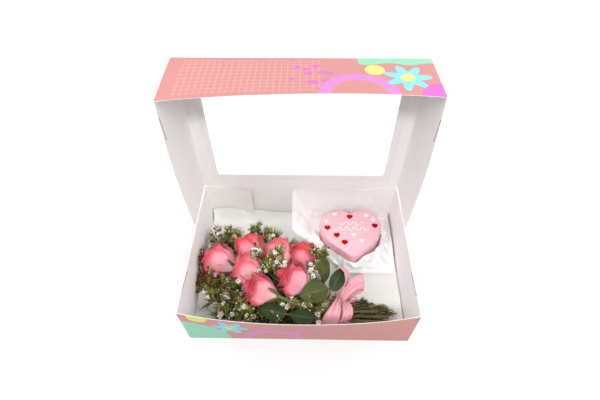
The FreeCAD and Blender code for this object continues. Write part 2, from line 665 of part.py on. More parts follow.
def ribbon_loop(length, height):
    """Teardrop loop of ribbon along +Z from the origin, its width along Y."""
    thick = size("ribbon_thickness")
    width = size("ribbon_width") * 0.7
    end = height / 2

    def teardrop(radius, neck, mouth):
        centre = length - end
        far = math.hypot(centre - neck, mouth)
        opening = math.acos(radius / far)
        lean = math.atan2(mouth, centre - neck)
        angle = math.pi - lean - opening
        upper = Vector(radius * math.sin(angle), -width / 2, centre + radius * math.cos(angle))
        lower = Vector(-upper.x, -width / 2, upper.z)
        start = Vector(mouth, -width / 2, neck)
        finish = Vector(-mouth, -width / 2, neck)
        return Part.Face(Part.Wire([
            Part.LineSegment(start, upper).toShape(),
            Part.Arc(upper, Vector(0, -width / 2, centre + radius), lower).toShape(),
            Part.LineSegment(lower, finish).toShape(),
            Part.LineSegment(finish, start).toShape(),
        ]))

    strip = teardrop(end, 0, thick * 2).cut(teardrop(end - thick, thick * 3, thick * 0.9))
    return strip.extrude(Vector(0, width, 0)).Solids[0]


def ribbon_tail(length, rise):
    """Strip of ribbon curving away along +Z from the origin."""
    thick = size("ribbon_thickness")
    width = size("ribbon_width") * 0.7
    edge = -width / 2
    inner = Part.Arc(Vector(0, edge, 0), Vector(rise, edge, length / 2), Vector(0, edge, length)).toShape()
    outer = Part.Arc(Vector(thick, edge, length), Vector(rise + thick, edge, length / 2),
                     Vector(thick, edge, 0)).toShape()
    far = Part.LineSegment(Vector(0, edge, length), Vector(thick, edge, length)).toShape()
    near = Part.LineSegment(Vector(thick, edge, 0), Vector(0, edge, 0)).toShape()
    return Part.Face(Part.Wire([inner, far, outer, near])).extrude(Vector(0, width, 0))


# Start, direction, leaning and shape of each loop and tail of the bow
LOOPS = [
    ("ribbon_loop_right", (4.6, 11.4, 26.2), (0.50, 0.66, 0.56), (0.4, -0.5, 1), 44, 17),
    ("ribbon_loop_back", (-2, 12, 22), (-0.05, 0.95, 0.12), (0, -0.2, 1), 40, 14),
    ("ribbon_loop_front", (7.8, -2.6, 24.5), (0, -0.87, 0.5), (0, 0, 1), 26, 12),
]
for label, start, heading, lean, length, height in LOOPS:
    add_shape(label, ribbon_loop(length, height), aim(at(*start), Vector(*heading), Vector(*lean)))
add_shape("ribbon_tail_front", ribbon_tail(32, 5), aim(at(-7.6, -0.9, 24.4), Vector(-0.62, -0.62, 0.5), Vector(0, 0, 1)))

# Check and export

doc.recompute()
for item in doc.Objects:
    if "Invalid" in item.State or "Error" in item.State:
        raise RuntimeError(f"{item.Label} did not rebuild: {item.State}")
for item in exports:
    if item.Shape.isNull() or not item.Shape.isValid() or not item.Shape.Solids:
        raise RuntimeError(f"{item.Label} has no valid solid")
for item in exports:
    item.Shape.exportStep(f"parts/{item.Label}.step")
print(f"{len(exports)} sub-parts exported")
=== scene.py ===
"""Open flower box: printed carton with a window lid, hand-tied rose bouquet and heart-shaped iced cake."""

import logging
import math
import random
from collections.abc import Callable
from dataclasses import dataclass, field
from enum import Enum
from functools import partial

import bmesh
import bpy
import numpy as np
from mathutils import Matrix, Vector, noise

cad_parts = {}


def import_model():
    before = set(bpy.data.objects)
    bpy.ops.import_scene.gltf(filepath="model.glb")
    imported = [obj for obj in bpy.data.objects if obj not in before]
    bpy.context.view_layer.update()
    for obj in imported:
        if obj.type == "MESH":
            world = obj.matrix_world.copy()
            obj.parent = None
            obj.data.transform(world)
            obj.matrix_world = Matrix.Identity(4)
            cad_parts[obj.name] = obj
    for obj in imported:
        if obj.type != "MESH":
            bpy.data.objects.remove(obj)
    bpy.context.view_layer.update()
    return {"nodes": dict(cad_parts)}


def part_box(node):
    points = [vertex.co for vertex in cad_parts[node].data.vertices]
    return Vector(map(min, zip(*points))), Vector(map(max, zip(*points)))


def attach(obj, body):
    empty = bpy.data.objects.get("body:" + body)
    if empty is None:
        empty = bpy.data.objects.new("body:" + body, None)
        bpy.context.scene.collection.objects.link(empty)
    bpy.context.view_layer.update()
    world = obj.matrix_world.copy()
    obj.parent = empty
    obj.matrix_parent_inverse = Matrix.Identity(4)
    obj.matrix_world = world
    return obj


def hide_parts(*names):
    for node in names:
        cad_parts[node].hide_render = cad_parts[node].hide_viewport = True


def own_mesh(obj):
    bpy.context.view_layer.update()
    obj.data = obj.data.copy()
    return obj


LOG = logging.getLogger("flower_box")
MM = 0.001
RIGHT, BACK, UP = (1.0, 0.0, 0.0), (0.0, 1.0, 0.0), (0.0, 0.0, 1.0)
LEFT, FRONT, DOWN = (-1.0, 0.0, 0.0), (0.0, -1.0, 0.0), (0.0, 0.0, -1.0)
UPWARD = np.array(UP)
# Where the stems are bound, in millimetres
TIE = np.array((58.0, -73.0, 0.7))
# The line between the flowers and the cake's paper: the way across it, and a point of it in millimetres
BORDER_WAY = (0.597, 0.802)
BORDER_SPOT = (46.3, 23.7)
# Neighbouring petals stand this far apart round a bloom, as leaves do round a stem
GOLDEN_ANGLE = math.radians(137.5)

NodeMaker = Callable[..., bpy.types.NodeSocket]


def linear(hex_colour: str) -> tuple[float, float, float, float]:
    """Turn an sRGB hex colour into linear RGBA.

    Args:
        hex_colour: six hex digits.

    Returns:
        Red, green, blue and alpha in linear light.
    """
    shares = [int(hex_colour[i:i + 2], 16) / 255 for i in (0, 2, 4)]
    red, green, blue = [c / 12.92 if c <= 0.04045 else ((c + 0.055) / 1.055) ** 2.4 for c in shares]
    return red, green, blue, 1.0


def add_node(tree: bpy.types.NodeTree, kind: str, *inputs: object, out: int | str = 0,
             **settings: object) -> bpy.types.NodeSocket | None:
    """Add one shader node with its settings, values and links.

    Args:
        tree: the node tree that gets the node.
        kind: Blender's type name after "ShaderNode".
        inputs: a number, hex colour, vector or socket for each input in order, or one dict of them by key.
        out: which output to give back.
        settings: attributes of the node itself.

    Returns:
        The output socket, where the node has one.
    """
    node = tree.nodes.new("ShaderNode" + kind)
    for name, value in settings.items():
        setattr(node, name, value)
    named = inputs[0] if inputs and isinstance(inputs[0], dict) else dict(enumerate(inputs))
    for key, value in named.items():
        if isinstance(value, bpy.types.NodeSocket):
            tree.links.new(value, node.inputs[key])
        else:
            node.inputs[key].default_value = linear(value) if isinstance(value, str) else value
    return node.outputs[out] if node.outputs else None


def unit(vector: np.ndarray) -> np.ndarray:
    """Scale a vector to length one."""
    return vector / max(float(np.linalg.norm(vector)), 1e-9)


def ramp(value: float, start: float, end: float) -> float:
    """Share of the way that a value has come from a start to an end, from nought to one."""
    return min(1.0, max(0.0, (value - start) / (end - start)))


def waver(x: float, y: float, z: float) -> float:
    """Smooth chance swing about nought, the same each run."""
    return noise.noise(Vector((x, y, z)))


def past_border(x: float, y: float) -> float:
    """How far a place lies beyond the line between the flowers and the cake's paper."""
    return BORDER_WAY[0] * (x - BORDER_SPOT[0]) + BORDER_WAY[1] * (y - BORDER_SPOT[1])


def ring_round(centre: np.ndarray, side: np.ndarray, other: np.ndarray, radius: float,
               count: int) -> np.ndarray:
    """Points of a circle in the plane of two directions."""
    turn = np.arange(count) * (2 * math.pi / count)
    return centre + radius * (np.outer(np.cos(turn), side) + np.outer(np.sin(turn), other))


def rounded(points: list) -> np.ndarray:
    """Cut the corners of a route three times, so that it runs smoothly between its two ends.

    Args:
        points: the route's corners.

    Returns:
        The points of the smooth route.
    """
    line = np.array(points, float)
    for _ in range(3):
        middle = np.empty((2 * len(line) - 2, line.shape[1]))
        middle[0::2] = 0.75 * line[:-1] + 0.25 * line[1:]
        middle[1::2] = 0.25 * line[:-1] + 0.75 * line[1:]
        line = np.vstack([line[:1], middle[1:-1], line[-1:]])
    return line


def through(points: tuple, count: int) -> np.ndarray:
    """Smooth curve through every given point.

    Args:
        points: rows of numbers, positions or any values that go with them.
        count: how many points to give back.

    Returns:
        Evenly spread points of the curve.
    """
    knots = np.array(points, float)
    padded = np.vstack([2 * knots[0] - knots[1], knots, 2 * knots[-1] - knots[-2]])
    found = []
    for place in np.linspace(0, len(knots) - 1, count):
        index = min(int(place), len(knots) - 2)
        t = place - index
        a, b, c, d = padded[index:index + 4]
        found.append(0.5 * (2 * b + (c - a) * t + (2 * a - 5 * b + 4 * c - d) * t * t
                            + (3 * b - a - 3 * c + d) * t ** 3))
    return np.array(found)


class Route:
    """A line of points that tells the place at any distance from its start."""

    def __init__(self, line: np.ndarray) -> None:
        """Measure the line."""
        self.line = line
        self.far = np.concatenate([[0], np.cumsum(np.linalg.norm(np.diff(line, axis=0), axis=1))])

    def at(self, spots: float | np.ndarray) -> np.ndarray:
        """Places at the given distances."""
        return np.stack([np.interp(spots, self.far, column) for column in self.line.T], axis=-1)


class Shell:
    """Gathers the points, faces, map and finish numbers of one piece, in millimetres."""

    def __init__(self, rows: np.ndarray | list | None = None) -> None:
        """Start with nothing, or with one sheet.

        Args:
            rows: the sheet's points as rows by columns by three.
        """
        self.points: list = []
        self.faces: list = []
        self.maps: list = []
        self.numbers: list = []
        if rows is not None:
            self.add_grid(np.array(rows))

    def add_grid(self, rows: np.ndarray, number: int = 0, closed: bool = False) -> None:
        """Add a sheet of quads.

        Args:
            rows: points as rows by columns by three.
            number: which finish it takes.
            closed: whether the last column meets the first.
        """
        count, width = rows.shape[:2]
        start = len(self.points)
        self.points.extend(map(tuple, rows.reshape(-1, 3)))
        last = width if closed else width - 1
        for i in range(count - 1):
            for j in range(last):
                k = (j + 1) % width
                self.faces.append((start + i * width + j, start + i * width + k,
                                   start + (i + 1) * width + k, start + (i + 1) * width + j))
                left, right = j / last, (j + 1) / last
                low, high = i / (count - 1), (i + 1) / (count - 1)
                self.maps.extend((left, low, right, low, right, high, left, high))
                self.numbers.append(number)

    def add_fan(self, ring: np.ndarray, apex: np.ndarray, number: int = 0, flip: bool = False) -> None:
        """Close a ring of points towards one point.

        Args:
            ring: the points of the ring.
            apex: the point that all of them meet.
            number: which finish it takes.
            flip: whether the faces look the other way.
        """
        start = len(self.points)
        count = len(ring)
        self.points.extend(map(tuple, ring))
        self.points.append(tuple(apex))
        for j in range(count):
            pair = (start + j, start + (j + 1) % count)
            self.faces.append((*(pair[::-1] if flip else pair), start + count))
            self.maps.extend((j / count, 0.9, (j + 1) / count, 0.9, 0.5, 1.0))
            self.numbers.append(number)

    def add_rings(self, rings: list, tip: tuple | np.ndarray, foot: tuple | np.ndarray | None = None,
                  number: int = 0) -> None:
        """Add a form through rings of points.

        Args:
            rings: the rings, from the foot up.
            tip: the point that closes the last ring.
            foot: the point that closes the first ring, where it is closed.
            number: which finish it takes.
        """
        self.add_grid(np.array(rings), number, closed=True)
        if foot is not None:
            self.add_fan(rings[0], foot, number, flip=True)
        self.add_fan(rings[-1], tip, number)

    def add_tube(self, line: np.ndarray, radii: np.ndarray | float, sides: int, number: int = 0) -> None:
        """Add a round closed tube along a line.

        Args:
            line: the points it follows.
            radii: its radius, the same all along or one for each point.
            sides: how many faces go round it.
            number: which finish it takes.
        """
        heading = np.gradient(line, axis=0)
        side = unit(np.cross(heading[0], (0.31, 0.17, 0.93)))
        rings = []
        for point, ahead, radius in zip(line, heading, np.broadcast_to(radii, len(line))):
            ahead = unit(ahead)
            side = unit(side - ahead * float(side @ ahead))
            rings.append(ring_round(point, side, np.cross(ahead, side), radius, sides))
        self.add_rings(rings, line[-1], line[0], number)

    def add_spike(self, root: np.ndarray, tip: np.ndarray, radius: float, bow: np.ndarray,
                  number: int) -> None:
        """Add a slim three-sided needle leaf.

        Args:
            root: where it starts.
            tip: where it ends.
            radius: its half width.
            bow: how far its middle stands off the straight line.
            number: which finish it takes.
        """
        ahead = unit(tip - root)
        side = unit(np.cross(ahead, (0.2, 0.5, 0.84)))
        other = np.cross(ahead, side)
        start = len(self.points)
        self.points.extend(map(tuple, ring_round(root, side, other, 0.7 * radius, 3)))
        self.points.extend(map(tuple, ring_round((root + tip) / 2 + bow, side, other, radius, 3)))
        self.points.append(tuple(tip))
        for j in range(3):
            k = (j + 1) % 3
            self.faces.append((start + j, start + k, start + 3 + k, start + 3 + j))
            self.faces.append((start + 3 + j, start + 3 + k, start + 6))
            self.maps.extend((0, 0, 1, 0, 1, 0.5, 0, 0.5, 0, 0.5, 1, 0.5, 0.5, 1))
            self.numbers.extend((number, number))

    def make_piece(self, name: str, finishes: list, body: str, slot: str, nodes: tuple = (),
                   thickness: float = 0.0) -> bpy.types.Object:
        """Turn what was gathered into a piece that rides on a body.

        Args:
            name: the piece's name.
            finishes: its materials, by number.
            body: the body that it moves with.
            slot: the record's material slot; not used.
            nodes: the solids that it stands for.
            thickness: in millimetres, for a sheet that is given one.

        Returns:
            The new object.
        """
        mesh = bpy.data.meshes.new(name)
        mesh.from_pydata([tuple(MM * c for c in p) for p in self.points], [], self.faces)
        mesh.uv_layers.new(name="UVMap").data.foreach_set("uv", np.array(self.maps, np.float32))
        mesh.polygons.foreach_set("material_index", np.array(self.numbers, np.int32))
        mesh.polygons.foreach_set("use_smooth", np.ones(len(self.faces), bool))
        for finish in finishes:
            mesh.materials.append(finish)
        mesh.update()
        piece = bpy.data.objects.new(name, mesh)
        bpy.context.scene.collection.objects.link(piece)
        if thickness:
            shell = piece.modifiers.new("thickness", "SOLIDIFY")
            shell.thickness = thickness * MM
            shell.offset = 0
        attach(piece, body)
        if nodes:
            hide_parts(*nodes)
        LOG.info("%s: %d faces on %s", name, len(self.faces), body)
        return piece


def paint(node: bpy.types.Object, material: bpy.types.Material) -> None:
    """Give a solid one material."""
    node.data.materials.clear()
    node.data.materials.append(material)


@dataclass(frozen=True)
class Finish:
    """A named surface that turns into one material."""

    name: str

    def surface(self, add: NodeMaker) -> dict:
        """What the shader's sockets get, by name."""
        raise NotImplementedError

    def build(self) -> bpy.types.Material:
        """Make the material.

        Returns:
            A new material with one shader.
        """
        material = bpy.data.materials.new(self.name)
        material.use_nodes = True
        material.node_tree.nodes.clear()
        add = partial(add_node, material.node_tree)
        add("OutputMaterial", add("BsdfPrincipled", self.surface(add)))
        return material


class MotifKind(Enum):
    """Plain shapes of the carton's print."""

    DISC = "disc"
    RING = "ring"
    DAISY = "daisy"
    DABS = "dabs"
    WAVE = "wave"
    BAR = "bar"


@dataclass(frozen=True)
class Motif:
    """One printed shape, in millimetres on its panel.

    The detail is a ring's width, a daisy's petal count, the step of dabs, a wave's length or a bar's turn.
    """

    kind: MotifKind
    u: float
    v: float
    size: float
    colour: str
    detail: float = 0.0

    def mask(self, add: NodeMaker, point: bpy.types.NodeSocket) -> bpy.types.NodeSocket:
        """Where the shape covers the panel.

        Args:
            add: adds a node to the material.
            point: the place on the panel in millimetres.

        Returns:
            One inside the shape and nought outside.
        """
        size, detail, kind = self.size, self.detail, self.kind
        gap = add("VectorMath", point, (self.u, self.v, 0.0), operation="SUBTRACT")
        far = add("VectorMath", gap, operation="LENGTH", out="Value")
        if kind is MotifKind.RING:
            return add("Math", far, size, detail / 2, operation="COMPARE")
        if kind is MotifKind.DAISY:
            x, y, _ = add("SeparateXYZ", gap).node.outputs
            turn = add("Math", add("Math", y, x, operation="ARCTAN2"), detail, 0.6, operation="MULTIPLY_ADD")
            swing = add("Math", turn, operation="COSINE")
            edge = add("Math", swing, 0.24 * size, 0.76 * size, operation="MULTIPLY_ADD")
            return add("Math", far, edge, operation="LESS_THAN")
        near = add("Math", far, size, operation="LESS_THAN")
        if kind is MotifKind.DABS:
            tilted = add("VectorRotate", {"Vector": point, "Angle": 0.5}, rotation_type="Z_AXIS")
            flat = add("VectorMath", tilted, (0.62, 1.0, 1.0), operation="MULTIPLY")
            cells = add("TexVoronoi", {"Vector": flat, "Scale": 1 / detail, "Randomness": 0.75},
                        voronoi_dimensions="2D", out="Distance")
            return add("Math", add("Math", cells, 0.27, operation="LESS_THAN"), near, operation="MULTIPLY")
        if kind is MotifKind.BAR:
            spun = add("VectorRotate", {"Vector": gap, "Angle": -detail}, rotation_type="Z_AXIS")
            x, y, _ = add("SeparateXYZ", spun).node.outputs
            long = add("Math", x, 0.0, size, operation="COMPARE")
            return add("Math", long, add("Math", y, 0.0, 0.7, operation="COMPARE"), operation="MULTIPLY")
        if kind is MotifKind.WAVE:
            x, y, _ = add("SeparateXYZ", gap).node.outputs
            swing = add("Math", add("Math", x, 2 * math.pi / detail, operation="MULTIPLY"), operation="SINE")
            edge = add("Math", swing, 0.18 * size, size, operation="MULTIPLY_ADD")
            under = add("Math", add("Math", y, operation="ABSOLUTE"), edge, operation="LESS_THAN")
            return add("Math", under, add("Math", x, 0.0, operation="GREATER_THAN"), operation="MULTIPLY")
        return near


@dataclass(frozen=True)
class PrintedBoard(Finish):
    """Folding boxboard: coated and printed outside, so it has a low even gloss; bare white fibre inside."""

    outward: tuple
    along: tuple
    up: tuple
    motifs: tuple = ()
    slits: tuple = ()
    grid: tuple = (0.0, 0.0, 0.0, 0.0)
    origin: tuple = (0.0, 0.0)
    ground: str = "D9928D"
    grid_line: str = "E6BAB4"
    inside: str = "FAF9F8"
    cloud: str = "F4F2F0"
    grid_pitch: float = 7.0
    line_width: float = 0.65

    def surface(self, add: NodeMaker) -> dict:
        """Print where the face looks outward, and bare board elsewhere.

        Args:
            add: adds a node to the material.

        Returns:
            What the shader's sockets get, by name.
        """
        place = add("TexCoord").node.outputs
        spots = []
        for axis, shift in zip((self.along, self.up), self.origin):
            scaled = tuple(c / MM for c in axis)
            far = add("VectorMath", place["Object"], scaled, operation="DOT_PRODUCT", out="Value")
            spots.append(add("Math", far, shift, operation="ADD"))
        point = add("CombineXYZ", *spots)
        printed = self.ground_colour(add, spots)
        for motif in self.motifs:
            cover = motif.mask(add, point)
            printed = add("Mix", {0: cover, 6: printed, 7: motif.colour}, data_type="RGBA", out=2)
        fibre = add("TexNoise", {"Vector": place["Object"], "Scale": 1 / (1.6 * MM), "Detail": 3.0})
        patch = add("TexNoise", {"Vector": place["Object"], "Scale": 1 / (45 * MM)})
        bare = add("Mix", {0: patch, 6: self.inside, 7: self.cloud}, data_type="RGBA", out=2)
        # Where a lock slit gapes, the printed face shows through as a thin line, darkened with painted shade
        # of the gap
        for slit in self.slits:
            bare = add("Mix", {0: slit.mask(add, point), 6: bare, 7: slit.colour}, data_type="RGBA", out=2)
        facing = add("VectorMath", place["Normal"], self.outward, operation="DOT_PRODUCT", out="Value")
        outside = add("Math", facing, 0.5, operation="GREATER_THAN")
        gloss = add("MapRange", outside, 0.0, 1.0, 0.62, 0.40)
        return {"Base Color": add("Mix", {0: outside, 6: bare, 7: printed}, data_type="RGBA", out=2),
                "Roughness": add("Math", fibre, 0.12, gloss, operation="MULTIPLY_ADD"),
                "Normal": add("Bump", {"Height": fibre, "Strength": 0.06, "Distance": 0.2 * MM})}

    def ground_colour(self, add: NodeMaker, spots: list) -> bpy.types.NodeSocket:
        """Ground of the print with a fine pale grid over part of the panel.

        Args:
            add: adds a node to the material.
            spots: the two places on the panel in millimetres.

        Returns:
            The ground's colour.
        """
        lines = []
        zones = []
        for spot, low, high in zip(spots, self.grid[0::2], self.grid[1::2]):
            step = add("Math", spot, self.grid_pitch, operation="FLOORED_MODULO")
            lines.append(add("Math", step, self.line_width, operation="LESS_THAN"))
            zones.append(add("Math", spot, (low + high) / 2, (high - low) / 2, operation="COMPARE"))
        either = add("Math", *lines, operation="MAXIMUM")
        drawn = add("Math", either, add("Math", *zones, operation="MULTIPLY"), operation="MULTIPLY")
        cover = add("Math", drawn, 0.8, operation="MULTIPLY")
        return add("Mix", {0: cover, 6: self.ground, 7: self.grid_line}, data_type="RGBA", out=2)


@dataclass(frozen=True)
class ClearFilm(Finish):
    """Cast plastic window film: nearly invisible, with a sharp faint gloss and a slow ripple from gluing."""

    def surface(self, add: NodeMaker) -> dict:
        """A faint clear skin.

        Args:
            add: adds a node to the material.

        Returns:
            What the shader's sockets get, by name.
        """
        ripple = add("TexNoise", {"Vector": add("TexCoord", out="Object"), "Scale": 1 / (60 * MM)})
        return {"Base Color": "FBFBFB", "Roughness": 0.08, "Alpha": 0.06,
                "Normal": add("Bump", {"Height": ripple, "Strength": 0.1, "Distance": MM})}


@dataclass(frozen=True)
class ThinPaper(Finish):
    """Greaseproof or liner paper: calendered fibre, matt and pale, with fine cockle and soft creases."""

    colour: str
    shade: str
    alpha: float
    crease: float
    depth: float

    def surface(self, add: NodeMaker) -> dict:
        """A pale cloudy sheet with creases of the given size.

        Args:
            add: adds a node to the material.

        Returns:
            What the shader's sockets get, by name.
        """
        place = add("TexCoord", out="Object")
        cells = add("TexVoronoi", {"Vector": place, "Scale": 1 / (self.crease * MM)}, out="Distance")
        cloud = add("TexNoise", {"Vector": place, "Scale": 1 / (25 * MM), "Detail": 4.0})
        height = add("Math", cells, 0.6, cloud, operation="MULTIPLY_ADD")
        return {"Base Color": add("Mix", {0: cloud, 6: self.colour, 7: self.shade}, data_type="RGBA", out=2),
                "Roughness": add("MapRange", cloud, 0.0, 1.0, 0.48, 0.66), "Alpha": self.alpha,
                "Normal": add("Bump", {"Height": height, "Strength": self.depth, "Distance": 1.2 * MM})}


@dataclass(frozen=True)
class SugarPaste(Finish):
    """Sugar paste or piped icing: fine powdery sugar, so it is soft, slightly clear and low in gloss."""

    colour: str
    shade: str
    # side: colour of painted reflected light down the steep sides; empty for none
    side: str
    grain: float
    roughness: float = 0.5
    depth: float = 0.2
    gloss: float = 0.35

    def surface(self, add: NodeMaker) -> dict:
        """Powdery paste, with painted reflected light tinting the sides a warmer pink.

        Args:
            add: adds a node to the material.

        Returns:
            What the shader's sockets get, by name.
        """
        place = add("TexCoord").node.outputs
        powder = add("TexNoise", {"Vector": place["Object"], "Scale": 1 / (self.grain * MM), "Detail": 4.0})
        smear = add("TexNoise", {"Vector": place["Object"], "Scale": 1 / (18 * MM)})
        tone = add("Mix", {0: smear, 6: self.colour, 7: self.shade}, data_type="RGBA", out=2)
        if self.side:
            # Painted reflected light: steep faces take the side colour, a warmer and brighter pink than the
            # top
            level = add("SeparateXYZ", place["Normal"], out=2)
            painted_bounce_mask = add("MapRange", level, 0.1, 0.9, 1.0, 0.0)
            tone = add("Mix", {0: painted_bounce_mask, 6: tone, 7: self.side}, data_type="RGBA", out=2)
        height = add("Math", smear, 2.0, powder, operation="MULTIPLY_ADD")
        return {"Base Color": tone, "Specular IOR Level": self.gloss,
                "Roughness": add("Math", powder, 0.15, self.roughness - 0.08, operation="MULTIPLY_ADD"),
                "Normal": add("Bump", {"Height": height, "Strength": self.depth, "Distance": 0.3 * MM}),
                "Subsurface Weight": 0.3, "Subsurface Radius": (1.0, 0.5, 0.4), "Subsurface Scale": 4.0 * MM}


@dataclass(frozen=True)
class RosePetal(Finish):
    """Rose petal: velvety cells give a soft sheen, veins fan out, and the rim is the deepest in colour."""

    base: str
    body: str
    rim: str
    foot: str = "E9E3B4"

    def surface(self, add: NodeMaker) -> dict:
        """Colour that deepens from the foot to the rim and the sides, with veins; the deeper sides are also
        painted shade that outlines each petal.

        Args:
            add: adds a node to the material.

        Returns:
            What the shader's sockets get, by name.
        """
        place = add("TexCoord").node.outputs
        across, high, _ = add("SeparateXYZ", place["UV"]).node.outputs
        blotch = add("TexNoise", {"Vector": place["Object"], "Scale": 1 / (9 * MM), "Detail": 2.0})
        shift = add("Math", blotch, 0.08, -0.04, operation="MULTIPLY_ADD")
        off = add("Math", add("Math", across, 0.5, operation="SUBTRACT"), operation="ABSOLUTE")
        # Towards its sides a petal takes the rim's deeper tone, which is also painted shade that outlines it
        # against the next petal
        high = add("Math", high, add("MapRange", off, 0.34, 0.5, 0.0, 0.30), operation="ADD")
        scale = add("ValToRGB", add("Math", high, shift, operation="ADD"))
        stops = ((0.0, self.foot), (0.14, self.base), (0.42, self.body), (0.68, self.body), (0.97, self.rim))
        elements = scale.node.color_ramp.elements
        while len(elements) < len(stops):
            elements.new(0.5)
        for element, (spot, tone) in zip(elements, stops):
            element.position = spot
            element.color = linear(tone)
        fan = add("VectorMath", place["UV"], (60.0, 2.5, 1.0), operation="MULTIPLY")
        vein = add("TexNoise", {"Vector": fan, "Scale": 1.0, "Detail": 3.0})
        flush = add("MapRange", vein, 0.4, 0.75, 0.0, 0.35)
        return {"Base Color": add("Mix", {0: flush, 6: scale, 7: self.rim}, data_type="RGBA", out=2),
                "Roughness": add("MapRange", vein, 0.0, 1.0, 0.45, 0.62),
                "Normal": add("Bump", {"Height": vein, "Strength": 0.25, "Distance": 0.25 * MM}),
                "Sheen Weight": 0.25, "Sheen Roughness": 0.4, "Sheen Tint": "FFE6EA",
                "Subsurface Weight": 0.15, "Subsurface Radius": (1.0, 0.35, 0.3),
                "Subsurface Scale": 1.2 * MM}


@dataclass(frozen=True)
class Foliage(Finish):
    """Cut foliage: waxy leaf skin with a low gloss, a pale midrib and side veins, and blotches from age."""

    body: str
    shade: str
    rib: str
    ribs: float
    roughness: float

    def surface(self, add: NodeMaker) -> dict:
        """Blotched skin with pale sunken veins.

        Args:
            add: adds a node to the material.

        Returns:
            What the shader's sockets get, by name.
        """
        place = add("TexCoord").node.outputs
        across, along, _ = add("SeparateXYZ", place["UV"]).node.outputs
        off = add("Math", add("Math", across, 0.5, operation="SUBTRACT"), operation="ABSOLUTE")
        midrib = add("MapRange", off, 0.012, 0.04, 1.0, 0.0)
        slant = add("Math", off, -0.7, along, operation="MULTIPLY_ADD")
        beat = add("Math", add("Math", slant, self.ribs, operation="MULTIPLY"), 0.5, operation="PINGPONG")
        lines = add("Math", midrib, add("MapRange", beat, 0.0, 0.07, 0.5, 0.0), operation="MAXIMUM")
        blotch = add("TexNoise", {"Vector": place["Object"], "Scale": 1 / (7 * MM), "Detail": 4.0})
        skin = add("Mix", {0: blotch, 6: self.body, 7: self.shade}, data_type="RGBA", out=2)
        veined = add("Math", lines, 0.6, operation="MULTIPLY")
        height = add("Math", lines, -0.6, blotch, operation="MULTIPLY_ADD")
        return {"Base Color": add("Mix", {0: veined, 6: skin, 7: self.rib}, data_type="RGBA", out=2),
                "Roughness": add("Math", blotch, 0.2, self.roughness - 0.1, operation="MULTIPLY_ADD"),
                "Normal": add("Bump", {"Height": height, "Strength": 0.35, "Distance": 0.4 * MM}),
                "Specular IOR Level": 0.25}


@dataclass(frozen=True)
class PlantSkin(Finish):
    """Stems, needles, buds and small petals: thin living skin, mottled and softly glossy."""

    body: str
    shade: str
    patch: float
    roughness: float
    soft: float = 0.0
    # Share of painted shade low in the bunch
    painted_low_shade: float = 0.0

    def surface(self, add: NodeMaker) -> dict:
        """Mottled skin with painted shade that darkens it low in the bunch.

        Args:
            add: adds a node to the material.

        Returns:
            What the shader's sockets get, by name.
        """
        place = add("TexCoord", out="Object")
        mottle = add("TexNoise", {"Vector": place, "Scale": 1 / (self.patch * MM), "Detail": 3.0})
        sharp = add("MapRange", mottle, 0.35, 0.65)
        tone = add("Mix", {0: sharp, 6: self.body, 7: self.shade}, data_type="RGBA", out=2)
        # Painted shade: the colour darkens towards the foot of the bunch by the given share
        level = add("MapRange", add("SeparateXYZ", place, out=2), 6 * MM, 38 * MM, 1 - self.painted_low_shade)
        return {"Base Color": add("VectorMath", {0: tone, "Scale": level}, operation="SCALE"),
                "Roughness": add("Math", mottle, 0.2, self.roughness - 0.1, operation="MULTIPLY_ADD"),
                "Normal": add("Bump", {"Height": mottle, "Strength": 0.3, "Distance": 0.2 * MM}),
                "Subsurface Weight": self.soft, "Subsurface Scale": 0.8 * MM}


@dataclass(frozen=True)
class SatinRibbon(Finish):
    """Polyester satin ribbon: long floats along it give a streaked sheen; the selvedges are tighter."""

    body: str
    shade: str
    thread: float = 110.0

    def surface(self, add: NodeMaker) -> dict:
        """Streaked sheen along the ribbon, deeper at its edges.

        Args:
            add: adds a node to the material.

        Returns:
            What the shader's sockets get, by name.
        """
        place = add("TexCoord", out="UV")
        # Real floats are 0.1 mm apart; these are drawn twice as coarse so that they show
        stretch = add("VectorMath", place, (self.thread, 3.0, 1.0), operation="MULTIPLY")
        floats = add("TexNoise", {"Vector": stretch, "Scale": 1.0, "Detail": 3.0})
        across = add("SeparateXYZ", place)
        off = add("Math", add("Math", across, 0.5, operation="SUBTRACT"), operation="ABSOLUTE")
        hem = add("MapRange", off, 0.45, 0.48)
        streak = add("Math", floats, 0.55, -0.1, operation="MULTIPLY_ADD")
        share = add("Math", hem, 0.5, streak, operation="MULTIPLY_ADD", use_clamp=True)
        return {"Base Color": add("Mix", {0: share, 6: self.body, 7: self.shade}, data_type="RGBA", out=2),
                "Roughness": add("MapRange", floats, 0.0, 1.0, 0.30, 0.46),
                "Normal": add("Bump", {"Height": floats, "Strength": 0.25, "Distance": 0.2 * MM}),
                "Sheen Weight": 0.3, "Sheen Roughness": 0.3, "Sheen Tint": "FFDCE2"}


